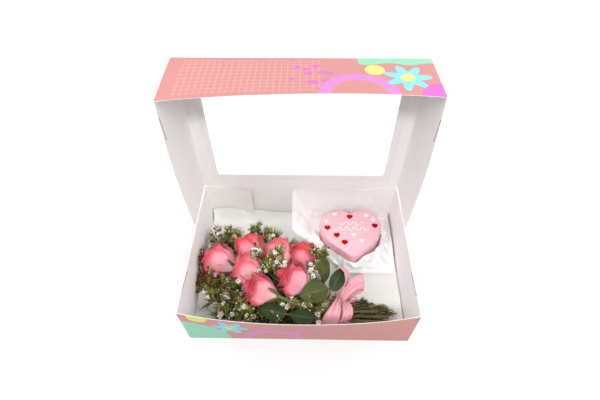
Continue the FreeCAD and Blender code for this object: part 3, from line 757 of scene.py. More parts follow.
@dataclass
class Carton:
    """Tray, lid and liner, folded from one printed blank. Sizes in millimetres."""

    width: float = 300.0
    height: float = 81.0
    hinge_y: float = 105.7
    lid_back: float = 7.5
    lid_edge: float = 7.0
    lid_depth: float = 79.0
    lid_rise: float = 214.0
    front_bow: float = 12.0
    lid_bow: float = 5.0
    belly: float = 2.2
    corner_sag: float = 6.0
    side_bow: float = 4.0
    side_drop: float = 5.0
    flap_spring: float = 4.0
    film_hold: float = 25.0
    liner_turn_up: float = 11.0
    liner_corner: float = 5.0
    liner_bulge: float = 2.0
    mesh_step: float = 8.0
    slant: float = math.radians(2.0)

    def prints(self) -> dict[str, PrintedBoard]:
        """Finish of every panel, each with its own part of the print.

        Returns:
            A board finish for each node.
        """
        # The slit colour is the coral print darkened with painted shade of the narrow gap
        magenta, orchid, yellow, cyan, mint, shaded_slit_print = "E070D0", "DE8FD0", "E8F080", "8FE0F5", "98E0BE", "A8443F"
        disc, ring, daisy, dabs, wave, bar = MotifKind
        front = (Motif(disc, -150, 0, 58, mint), Motif(daisy, -88, 46, 25, cyan, 6),
                 Motif(disc, -88, 46, 7, yellow), Motif(ring, -34, 0, 34, orchid, 13),
                 Motif(dabs, 12, 44, 24, magenta, 9), Motif(disc, -126, 74, 13, yellow))
        band = (Motif(wave, 66, 0, 13, mint, 46), Motif(ring, 62, 79, 36, orchid, 14),
                Motif(daisy, 117, 43, 27, cyan, 7), Motif(disc, 117, 43, 8, yellow),
                Motif(disc, 83, 27, 11, yellow), Motif(dabs, 14, 38, 27, magenta, 11),
                Motif(disc, 152, 79, 26, magenta))
        side = (Motif(disc, -106, 0, 50, mint), Motif(ring, -20, 0, 30, orchid, 12),
                Motif(daisy, 48, 44, 25, cyan, 6), Motif(disc, 48, 44, 7, yellow),
                Motif(dabs, -58, 52, 22, magenta, 10))
        back = (Motif(wave, -160, 0, 16, mint, 60), Motif(daisy, 70, 40, 25, cyan, 7),
                Motif(disc, 70, 40, 7, yellow), Motif(ring, -60, 80, 34, orchid, 13),
                Motif(dabs, 0, 44, 25, magenta, 10))
        top = (Motif(disc, -151, 295, 62, mint), Motif(ring, 151, 82, 46, orchid, 16),
               Motif(daisy, 110, 284, 20, cyan, 6), Motif(dabs, -130, 120, 34, magenta, 10),
               Motif(disc, 62, 294, 13, yellow))
        lid_side = (Motif(disc, 295, 79, 48, orchid), Motif(daisy, 150, 40, 24, cyan, 7),
                    Motif(disc, 150, 40, 7, yellow), Motif(dabs, 216, 40, 24, magenta, 10))
        left_slit = (Motif(bar, 60.9, 77.4, 17.5, shaded_slit_print, 0.114),)
        right_slit = (Motif(bar, -60.9, 77.4, 17.5, shaded_slit_print, -0.114),)
        wall = {"grid": (30, 147, 5, 75), "grid_line": "D89D97"}
        edge = (0.0, self.hinge_y + self.lid_edge)
        flank = {"motifs": lid_side, "slits": (Motif(bar, 252, 77.2, 17.5, shaded_slit_print, 0.08),),
                 "grid": (86, 190, 5, 75), "origin": edge}
        fronts, backs, tops = (FRONT, RIGHT, UP), (BACK, LEFT, UP), (UP, RIGHT, FRONT)
        boards = {
            "tray_front_wall": PrintedBoard("boxboard front wall", *fronts, front, **wall),
            "tray_back_wall": PrintedBoard("boxboard back wall", *backs, back, **wall),
            "tray_left_wall": PrintedBoard("boxboard left wall", LEFT, FRONT, UP, side, left_slit,
                                           (-100, 20, 5, 75)),
            "tray_right_wall": PrintedBoard("boxboard right wall", RIGHT, BACK, UP, side, right_slit,
                                            (-20, 100, 5, 75)),
            "tray_floor": PrintedBoard("boxboard floor", DOWN, RIGHT, BACK, grid=(-140, 140, -98, 98)),
            "hinge_crease": PrintedBoard("boxboard crease", *backs),
            "lid_panel": PrintedBoard("boxboard lid panel", *backs, top, grid=(-60, 147, 84, 104)),
            "lid_front_wall": PrintedBoard("boxboard lid front", *tops, band, grid=(-136, 22, 7, 74),
                                           origin=edge),
            "lid_left_wall": PrintedBoard("boxboard lid left", LEFT, UP, FRONT, **flank),
            "lid_right_wall": PrintedBoard("boxboard lid right", RIGHT, UP, FRONT, **flank),
        }
        for hand in ("left", "right"):
            boards[f"tray_front_{hand}_flap"] = PrintedBoard("boxboard front flap", *fronts)
            boards[f"tray_back_{hand}_flap"] = PrintedBoard("boxboard back flap", *backs)
            boards[f"lid_{hand}_flap"] = PrintedBoard("boxboard lid flap", *tops)
        return boards

    def dress(self, nodes: dict[str, bpy.types.Object]) -> None:
        """Give every panel its print and make the bowed panels, the film and the liner.

        Args:
            nodes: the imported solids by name.
        """
        for name, board in self.prints().items():
            paint(nodes[name], board.build())
            LOG.info("%s: %s", name, board.name)
        self.glue_film()
        for name in ("tray_front_wall", "tray_front_left_flap", "tray_front_right_flap"):
            self.bow_panel(nodes[name], "tray", self.front_shift)
        self.bow_panel(nodes["tray_back_left_flap"], "tray", self.flap_shift)
        for name in ("lid_front_wall", "lid_left_wall", "lid_right_wall", "lid_left_flap", "lid_right_flap"):
            self.bow_panel(nodes[name], "lid", self.lid_shift)
        self.lay_liner(nodes["floor_liner"])

    def on_lid(self, x: float, up: float, inward: float) -> tuple:
        """Place of a point given across the lid, up from the hinge and in from the lid's plane."""
        c, s = math.cos(self.slant), math.sin(self.slant)
        return x, self.hinge_y + s * up - c * inward, self.height + c * up + s * inward

    def glue_film(self) -> None:
        """Stretch the clear film across the window, with a slow ripple between its glued edges."""
        low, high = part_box("window_film")
        half = high.x / MM
        first, last = low.z / MM - self.height, high.z / MM - self.height
        rows = []
        for up in np.linspace(first, last, 24):
            row = []
            for x in np.linspace(-half, half, 36):
                free = min(1.0, min(half - abs(x), up - first, last - up) / self.film_hold)
                row.append(self.on_lid(x, up, 0.68 + 0.5 * free * (1 + waver(x / 70, up / 55, 2.0))))
            rows.append(row)
        film = ClearFilm("clear window film").build()
        piece = Shell(rows).make_piece("window_film_sheet", [film], "lid", "window_film", ("window_film",))

    def front_shift(self, point: Vector) -> Vector:
        """How far a point of the tray's front moves: the free top edge bellies out between its corners.

        Args:
            point: a point of the flat panel, in metres.

        Returns:
            The move in metres.
        """
        high = ramp(point.z / MM, 0, self.height)
        out = self.front_bow * (1 - ramp(abs(point.x) / MM, 0, self.width / 2) ** self.belly) * high ** 1.6
        return Vector((0.0, -out, -0.10 * out * high)) * MM

    def flap_shift(self, point: Vector) -> Vector:
        """How far a point of the rear left flap moves: its free edge springs off the back wall."""
        return Vector((0.0, -self.flap_spring * ramp(point.x / MM, -125, -79) ** 2, 0.0)) * MM

    def lid_shift(self, point: Vector) -> Vector:
        """How far a point of the lid moves: its front bellies, its left corner sags and its sides bend out.

        Args:
            point: a point of the flat panel, in metres.

        Returns:
            The move in metres.
        """
        x, y, z = (c / MM for c in point)
        back = self.hinge_y + self.lid_back
        across = ramp(abs(x), 0, self.width / 2)
        share = ramp(y, back, back - self.lid_depth)
        high = ramp(z, self.height, self.height + self.lid_rise)
        out = self.lid_bow * (1 - across ** self.belly) * share ** 1.5
        sag = self.corner_sag * share ** 1.3 * high ** 3 * ramp(x, 120, -150) ** 1.6
        side = drop = 0.0
        if across > 0.99:
            side = self.side_bow * share ** 1.5 * math.sin(math.pi * high)
            drop = self.side_drop * ramp(y, 80, 50) * max(0.0, 1 - high / 0.12)
        rearward = out * math.sin(self.slant) - 0.25 * sag
        return Vector((math.copysign(side, x), rearward, out - sag - drop)) * MM

    def bow_panel(self, node: bpy.types.Object, body: str, shift: Callable[[Vector], Vector]) -> None:
        """Make a curved copy of a flat panel.

        Args:
            node: the flat panel.
            body: the body that it rides on.
            shift: gives each point its move.
        """
        shape = bmesh.new()
        shape.from_mesh(node.data)
        low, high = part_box(node.name)
        for axis, face in enumerate((RIGHT, BACK, UP)):
            cuts = int((high[axis] - low[axis]) / (self.mesh_step * MM))
            for step in range(1, cuts):
                spot = Vector(face) * (low[axis] + (high[axis] - low[axis]) * step / cuts)
                bmesh.ops.bisect_plane(shape, geom=shape.verts[:] + shape.edges[:] + shape.faces[:],
                                       plane_co=spot, plane_no=face)
        for vert in shape.verts:
            vert.co += shift(vert.co)
        mesh = bpy.data.meshes.new(node.name + "_bowed")
        shape.to_mesh(mesh)
        shape.free()
        if "custom_normal" in mesh.attributes:
            mesh.attributes.remove(mesh.attributes["custom_normal"])
        mesh.materials.clear()
        mesh.materials.append(node.data.materials[0])
        mesh.polygons.foreach_set("use_smooth", np.ones(len(mesh.polygons), bool))
        mesh.set_sharp_from_angle(angle=math.radians(35))
        piece = bpy.data.objects.new(node.name + "_bowed", mesh)
        bpy.context.scene.collection.objects.link(piece)
        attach(piece, body)
        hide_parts(node.name)
        if not node.name.startswith(("lid_left_wall", "lid_right_wall")):
            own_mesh(piece)
        LOG.info("%s on %s", piece.name, body)

    def lay_liner(self, node: bpy.types.Object) -> None:
        """Lay the thin white sheet on the tray's floor, its rear edge turned up along the back wall.

        Args:
            node: the flat solid that it stands for.
        """
        low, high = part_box(node.name)
        rows = []
        for y in np.linspace(low.y / MM, high.y / MM, 64):
            row = []
            for x in np.linspace(low.x / MM, high.x / MM, 90):
                back = ramp(x, 2, -12) * (max(0.0, y - 90) / 12) ** 2
                ragged = 1 + ramp(x, -45, -95) * (0.3 + 0.9 * waver(x / 26, 0.0, 5.3))
                z = low.z / MM + 0.14 + self.liner_turn_up * back * ragged
                loose = ramp(x, -30, -90) * ramp(y, 60, 80)
                z += self.liner_bulge * max(0.0, waver(x / 60, y / 45, 3.1)) * loose
                z += self.liner_corner * max(0.0, 1 - math.hypot(x + 149, y - 105) / 34) ** 2
                z += 0.28 * max(0.0, x - 136) * ramp(y, 10, -20)
                row.append((x, y - back, z))
            rows.append(row)
        paper = ThinPaper("white liner paper", "F8F8F5", "EFEFEB", 1.0, 40.0, 0.25).build()
        piece = Shell(rows).make_piece("floor_liner_sheet", [paper], "tray", "liner_paper", ("floor_liner",))


@dataclass
class Cake:
    """Heart-shaped iced cake on crumpled greaseproof paper. Sizes in millimetres."""

    x: float = 80.3
    y: float = 67.3
    base: float = 1.15
    height: float = 34.0
    half: float = 48.5
    edge: float = 4.0
    bead: float = 0.8
    middle: float = -6.0
    paper_left: float = -13.0
    paper_right: float = 146.6
    paper_front: float = -5.0
    paper_back: float = 104.2
    flower_room: float = 7.0
    paper_rear_rise: float = 66.0
    paper_side_rise: float = 11.0
    paper_wing_rise: float = 22.0
    paper_least_rise: float = 4.0
    paper_lip: float = 20.0
    side_profile: tuple = ((-0.5, 0.0), (0.0, 1.5), (0.2, 5.0), (0.35, 12.0), (0.2, 20.0), (0.0, 26.0))
    puff: tuple = ((0.0, -0.3), (-0.02, 0.35), (0.06, 0.75), (0.2, 1.0), (0.42, 1.12))
    reds: tuple = ((-0.02, 0.29), (-0.77, -0.17), (0.78, -0.07), (-0.48, -0.46), (-0.24, -0.73))
    whites: tuple = ((-0.52, 0.38), (-0.80, 0.08), (0.54, 0.35), (0.75, 0.16), (0.07, -0.44), (0.31, -0.66))
    scallops: tuple = ((-0.35, 0.43, 0.0, 6), (-0.56, 0.55, -0.22, 9))

    def outline(self, half: float, inset: float, count: int = 160) -> np.ndarray:
        """Points round a heart, its tip towards the front.

        Args:
            half: half of its width.
            inset: how far the outline is drawn in.
            count: how many points to give.

        Returns:
            Points in the plane, evenly spread.
        """
        body, lobe, centre = half - inset, 0.598 * half - inset, 0.402 * half
        tip = max(0.18 * half - inset, 0.05 * half)
        notch = math.sqrt(max(lobe * lobe - centre * centre, 0.01))
        cheek = math.radians(-51)
        arcs = ((centre, 0.0, lobe, np.linspace(math.atan2(notch, -centre), 0, 40)),
                (0.0, 0.0, body, np.linspace(0, cheek, 24)[1:]),
                (0.0, (body - tip) / math.sin(cheek), tip, np.linspace(cheek, -math.pi / 2, 10)))
        right = [(x + radius * math.cos(a), y + radius * math.sin(a))
                 for x, y, radius, turns in arcs for a in turns]
        left = [(-x, y) for x, y in right[-2:0:-1]]
        route = Route(np.array(right + left + right[:1]))
        return route.at(np.linspace(0, route.far[-1], count, endpoint=False))

    def lifted(self, ring: np.ndarray, z: float | np.ndarray) -> np.ndarray:
        """Set a flat ring of points at the cake's place and a height."""
        return np.column_stack([ring + np.array((self.x, self.y)), np.broadcast_to(z, len(ring))])

    def build(self) -> None:
        """Make the coat, the icing and the paper."""
        # The coat's side colour FFC2CA is painted reflected light down its sides
        coat = SugarPaste("pink sugar paste", "F2C5CF", "EEB9C4", "FFC2CA", 1.1, 0.5, 0.25).build()
        red = SugarPaste("red icing", "BE0004", "A80004", "", 0.7, gloss=0.1).build()
        white = SugarPaste("white royal icing", "FFF6F6", "FBEBEC", "", 0.8, 0.45).build()
        self.cover(coat)
        self.pipe_hearts("red_icing_heart_set", self.reds, 9.4, red, "red_icing_hearts", "red_icing")
        self.pipe_hearts("white_icing_heart_set", self.whites, 7.4, white, "white_icing_hearts",
                         "white_icing")
        self.pipe_scallops(white)
        self.wrap()

    def cover(self, finish: bpy.types.Material) -> None:
        """Make the sugar-paste coat with a soft top edge and sides that settle a little.

        Args:
            finish: the coat's material.
        """
        top = self.base + self.height
        profile = [(inset, self.base + z) for inset, z in self.side_profile]
        for turn in np.linspace(0, math.pi / 2, 7):
            profile.append((self.edge * (1 - math.cos(turn)), top - self.edge + self.edge * math.sin(turn)))
        rims = [(self.outline(self.half, inset), z, inset > 3) for inset, z in profile]
        flat = self.outline(self.half, self.edge)
        for share in (0.92, 0.75, 0.5, 0.25):
            rims.append((flat * share + np.array([0.0, self.middle]) * (1 - share), top, True))
        rings = []
        for ring, z, uneven in rims:
            swell = [0.14 * waver(a / 22, b / 22, z / 30) if uneven else 0.0 for a, b in ring]
            rings.append(self.lifted(ring, z + np.array(swell)))
        shell = Shell()
        shell.add_rings(rings, (self.x, self.y + self.middle, top), (self.x, self.y + self.middle, self.base))
        shell.make_piece("sugar_paste_coat", [finish], "cake", "pink_frosting",
                         ("frosting_coat", "lower_sponge", "cream_filling", "upper_sponge"))

    def pipe_hearts(self, name: str, places: tuple, width: float, finish: bpy.types.Material, node: str,
                    slot: str) -> None:
        """Make a set of small puffed icing hearts on the cake's top.

        Args:
            name: the piece's name.
            places: their middles, in shares of the half width.
            width: how wide each heart is.
            finish: the icing's material.
            node: the solid that they stand for.
            slot: the record's material slot.
        """
        shell = Shell()
        top = self.base + self.height
        for number, place in enumerate(places):
            turn = math.radians((number * 37) % 23 - 11)
            spin = np.array([[math.cos(turn), math.sin(turn)], [-math.sin(turn), math.cos(turn)]])
            rings = []
            for inset, lift in self.puff:
                ring = self.outline(width / 2, 0.0, 48) * (1 - inset) + np.array([0, width * 0.1])
                rings.append(self.lifted(ring @ spin + np.array(place) * self.half, top + lift))
            shell.add_rings(rings, rings[-1].mean(axis=0) + 0.06 * UPWARD)
        shell.make_piece(name, [finish], "cake", slot, (node,))

    def pipe_scallops(self, finish: bpy.types.Material) -> None:
        """Make the two piped rows that swing to and fro across the cake's top.

        Args:
            finish: the icing's material.
        """
        shell = Shell()
        z = self.base + self.height + self.bead * 0.75
        for first, last, level, count in self.scallops:
            radius = (last - first) * self.half / count / 2
            line = []
            for index in range(count):
                for turn in np.linspace(0, math.pi, 9)[:-1]:
                    swing = radius * math.sin(turn) * (1 if index % 2 else -1)
                    line.append((first * self.half + radius * (2 * index + 1 - math.cos(turn)),
                                 level * self.half + swing))
            line.append((last * self.half, level * self.half))
            beads = self.bead * (1 + 0.16 * np.sin(np.arange(len(line)) * 1.9))
            shell.add_tube(self.lifted(np.array(line), z), beads, 8)
        shell.make_piece("piped_scallop_rows", [finish], "cake", "white_icing", ("piped_icing_scallops",))

    def room(self, c: float, s: float) -> float:
        """How far the paper may reach from the cake's middle one way, as the tray and the flowers allow.

        Args:
            c: the direction's share along X.
            s: the direction's share along Y.

        Returns:
            The distance.
        """
        limits = []
        for share, near, far in ((c, self.paper_left - self.x, self.paper_right - self.x),
                                 (s, self.paper_front - self.y, self.paper_back - self.y)):
            if abs(share) > 1e-6:
                limits.append((far if share > 0 else near) / share)
        slope = c * BORDER_WAY[0] + s * BORDER_WAY[1]
        if slope < -1e-6:
            limits.append((-past_border(self.x, self.y) - self.flower_room) / slope)
        return min(limits)

    def wrap(self) -> None:
        """Lay the greaseproof sheet under the cake and up around it, high behind and low in front."""
        count, steps = 240, 30
        floor = self.base - 0.2
        rows = np.zeros((steps, count, 3))
        for k, (a, b) in enumerate(self.outline(self.half, -1.0, count)):
            far = math.hypot(a, b)
            c, s = a / far, b / far
            out = self.room(c, s)
            behind = ramp(s, -0.15, 0.40)
            beside = max(0.0, c - 0.15) ** 0.8 * ramp(s, -0.8, -0.3)
            around = self.paper_side_rise * beside + self.paper_wing_rise * max(0.0, -c) ** 1.5
            tall = self.paper_rear_rise * behind * (1 - 0.85 * ramp(c, 0.6, 0.86))
            tall += (1 - behind) * around + self.paper_least_rise
            tall *= 1 + 0.22 * waver(c * 2.6, s * 2.6, 1.0)
            lip = self.paper_lip * ramp(s, 0.25, -0.25) * (1 + 0.15 * waver(c * 5, s * 5, 9.0))
            for i, share in enumerate(np.linspace(0, 1, steps)):
                rise = tall * share ** (1.25 + 0.35 * behind)
                tuck = lip * ramp(share, 0, 0.05) * (1 - ramp(share, 0.05, 1)) ** 1.9
                r = far + (out - far) * share ** (0.85 - 0.42 * behind)
                x, y, z = self.x + c * r, self.y + s * r, floor + max(rise, tuck + rise * share)
                pleat = 5.0 * waver(c * 7, s * 7, z / 60) + 3.0
                crease = 7.5 * abs(waver(x / 15, y / 15, z / 15 + 7))
                crease += 3.6 * abs(waver(x / 7, y / 7, z / 8 + 3))
                fold = math.sin(math.pi * min(1.0, 0.15 + share)) * (pleat - crease) * min(1.0, share * 9)
                inward = ramp(r, out, out - 7)
                rows[i, k] = (x + c * fold * inward, y + s * fold * inward,
                              max(floor, z + fold * (0.25 + 0.45 * inward)))
        shell = Shell()
        shell.add_grid(rows, closed=True)
        inner = self.lifted(self.outline(self.half, 3.0, count), floor)
        shell.add_grid(np.array([inner, rows[0]]), closed=True)
        shell.add_fan(inner, (self.x, self.y, floor), flip=True)
        paper = ThinPaper("greaseproof paper", "FDFEFE", "FAFCFC", 0.94, 8.0, 0.5).build()
        piece = shell.make_piece("cake_wrap_paper", [paper], "cake", "greaseproof_paper", ("cake_paper",))


class Tint(Enum):
    """Shades that the roses of one bunch come in."""

    BLUSH = ("blush rose petal", "F6D0D5", "EFA7B2", "DE5A68")
    PINK = ("pink rose petal", "F5CDD2", "ECA1AD", "D24252")
    CORAL = ("coral rose petal", "F4C1C7", "EA8D99", "D43442")


@dataclass
class Rose:
    """One half-open rose. Sizes in millimetres; the middle is measured from the tie."""

    number: int
    middle: tuple
    facing: tuple
    tint: Tint
    opening: float
    length: float = 52.0
    rim: float = 22.0
    petals: int = 17
    sepals: int = 5

    def petal(self, index: int, rng: random.Random) -> np.ndarray:
        """Shape one petal round the bloom's axis: a broad round-topped shield whose rim rolls outward.

        Args:
            index: nought for the innermost.
            rng: the bloom's own chance numbers.

        Returns:
            Rows of points from the petal's foot to its rim, opening along Z.
        """
        t = index / (self.petals - 1)
        s = np.linspace(0, 1, 22)[:, None]
        a = np.linspace(-1, 1, 21)[None, :]
        tall = self.length * (1.0 - 0.20 * t) * rng.uniform(0.95, 1.05)
        radius = self.rim * (0.14 + 0.78 * t ** 0.9)
        wrap = math.radians(125 - 74 * t) * rng.uniform(0.92, 1.06)
        spread = 0.40 + 0.60 * np.sin(np.pi / 2 * np.clip(s / 0.65, 0, 1))
        belly = 0.22 + 0.78 * np.sin(np.pi / 2 * np.clip(s / (0.45 + 0.30 * t), 0, 1)) ** 1.1
        closing = 0.42 * (1 - t) ** 0.8 * np.clip((s - 0.42) / 0.58, 0, 1) ** 1.5
        out = radius * belly * (1 - closing) * (1 + 0.26 * t * np.abs(a) ** 3 * s)
        point = 0.05 * t * np.exp(-(a / 0.2) ** 2) * s ** 5
        reach = tall * s * (1 + point - (0.05 + 0.24 * t) * np.abs(a) ** 2.6 * s)
        start = 0.72 * tall
        roll = (0.12 + t ** 1.5 * (0.45 + 1.5 * self.opening)) * rng.uniform(0.7, 1.25) * (1 - 0.35 * a ** 2)
        bow = (tall - start) / roll
        past = np.clip(reach - start, 0, None) / bow
        out = out + bow * (1 - np.cos(past))
        high = np.minimum(reach, start) + bow * np.sin(past)
        turn = index * GOLDEN_ANGLE + rng.uniform(-0.12, 0.12) + wrap * spread * a
        phase = rng.uniform(0, 50)
        sway = [[waver(p * 1.3 + phase, q * 1.4, t * 5) for p in a[0]] for q in s[:, 0]]
        out = out + np.array(sway) * s ** 1.5 * (0.4 + 2.6 * t)
        return np.stack([out * np.cos(turn), out * np.sin(turn), high], axis=2)

    def sepal(self, index: int, rng: random.Random) -> np.ndarray:
        """Shape one narrow green sepal that lies along the bloom and bends away.

        Args:
            index: its number round the bloom.
            rng: the bloom's own chance numbers.

        Returns:
            Rows of points from its foot to its tip.
        """
        s = np.linspace(0, 1, 10)[:, None]
        a = np.linspace(-1, 1, 5)[None, :]
        long = rng.uniform(19, 25)
        lift = rng.uniform(0.15, 0.9)
        out = 4.0 + 0.56 * self.rim * np.sin(np.pi / 2 * np.clip(s * 1.25, 0, 1)) + lift * 7 * s ** 2.5
        high = -2.0 + long * s * (1 - 0.35 * lift * s ** 2)
        half = 2.3 * np.sin(np.pi * np.clip(0.28 + 0.72 * s, 0, 1)) ** 0.8
        turn = index * 2 * math.pi / self.sepals + rng.uniform(-0.2, 0.2)
        cupped = out - 0.25 * half * a ** 2
        x = cupped * math.cos(turn) - half * a * math.sin(turn)
        y = cupped * math.sin(turn) + half * a * math.cos(turn)
        return np.stack([x, y, high + 0 * a], axis=2)

    def placed(self, rows: np.ndarray) -> np.ndarray:
        """Turn points of the bloom into their place in the bouquet.

        Args:
            rows: points with the bloom's foot at the origin, opening along Z.

        Returns:
            The same points in the box.
        """
        axis = unit(np.array(self.facing))
        side = unit(np.cross(UP, axis))
        lean = np.cross(axis, side)
        foot = TIE + np.array(self.middle) - axis * (self.length / 2)
        return foot + rows[..., :1] * lean + rows[..., 1:2] * side + rows[..., 2:] * axis

    def build(self, finish: bpy.types.Material, green: bpy.types.Material) -> None:
        """Make the bloom and its sepals.

        Args:
            finish: the petals' material.
            green: the sepals' material.
        """
        rng = random.Random(71 + self.number)
        bloom = Shell()
        for index in range(self.petals):
            bloom.add_grid(self.placed(self.petal(index, rng)))
        bloom.make_piece(f"rose_{self.number}_petals", [finish], "bouquet", "rose_petal",
                         (f"rose_{self.number}_bloom",), 0.3)
        calyx = Shell()
        for index in range(self.sepals):
            calyx.add_grid(self.placed(self.sepal(index, rng)))
        calyx.make_piece(f"rose_{self.number}_sepals", [green], "bouquet", "green_stem", (), 0.35)


class LeafKind(Enum):
    """Foliage in the bunch, each with its finish."""

    GREY = ("eucalyptus leaf", "4E5628", "3C431C", "687042", 7.0, 0.6)
    DARK = ("glossy dark leaf", "2C4018", "1C2E10", "4C5E30", 8.0, 0.5)


@dataclass
class Leaf:
    """One foliage leaf on its stalk. Sizes in millimetres; points are measured from the tie."""

    number: int
    foot: tuple
    tip: tuple
    width: float
    lean: tuple
    slot: float
    kind: LeafKind
    bluntness: float = 0.8
    stalk_level: float = 16.4

    def build(self, finish: bpy.types.Material, stalk: bpy.types.Material) -> None:
        """Make the arched blade and its stalk.

        Args:
            finish: the blade's material.
            stalk: the stalk's material.
        """
        foot, tip = TIE + np.array(self.foot), TIE + np.array(self.tip)
        long = float(np.linalg.norm(tip - foot))
        ahead = (tip - foot) / long
        up = np.array(self.lean, float)
        up = unit(up - ahead * float(up @ ahead))
        side = np.cross(ahead, up)
        s = np.linspace(0, 1, 22)[:, None]
        a = np.linspace(-1, 1, 13)[None, :]
        half = self.width / 2 * np.sin(np.pi * np.clip(s, 0.001, 0.999) ** self.bluntness) ** 0.75
        arch = 0.10 * long * (np.sin(np.pi * s) - s ** 2)
        cup = 0.16 * self.width * np.abs(a) ** 1.5 * np.sin(np.pi * s)
        wave = 0.05 * self.width * np.sin(s * 11 + self.number) * np.abs(a) ** 2
        blade = Shell(foot + long * s[..., None] * ahead + (half * a)[..., None] * side
                      + (arch + cup + wave)[..., None] * up)
        bound = TIE + np.array((0.0, self.slot, self.stalk_level))
        line = rounded([foot + ahead * 2, foot - ahead * 5, bound + np.array((-22.0, 0.0, 0.0)),
                        bound + np.array((20.0, 0.0, 0.0))])
        blade.add_tube(line, 0.9, 7, 1)
        blade.make_piece(f"foliage_leaf_{self.number}_blade", [finish, stalk], "bouquet", "foliage",
                         (f"foliage_leaf_{self.number}",))


class Growth(Enum):
    """What a waxflower sprig is made of, with the number of its finish."""

    TWIG = 0
    NEEDLE = 1
    PETAL = 2
    EYE = 3
    RED_BUD = 4
    PINK_BUD = 5
    GREEN_BUD = 6


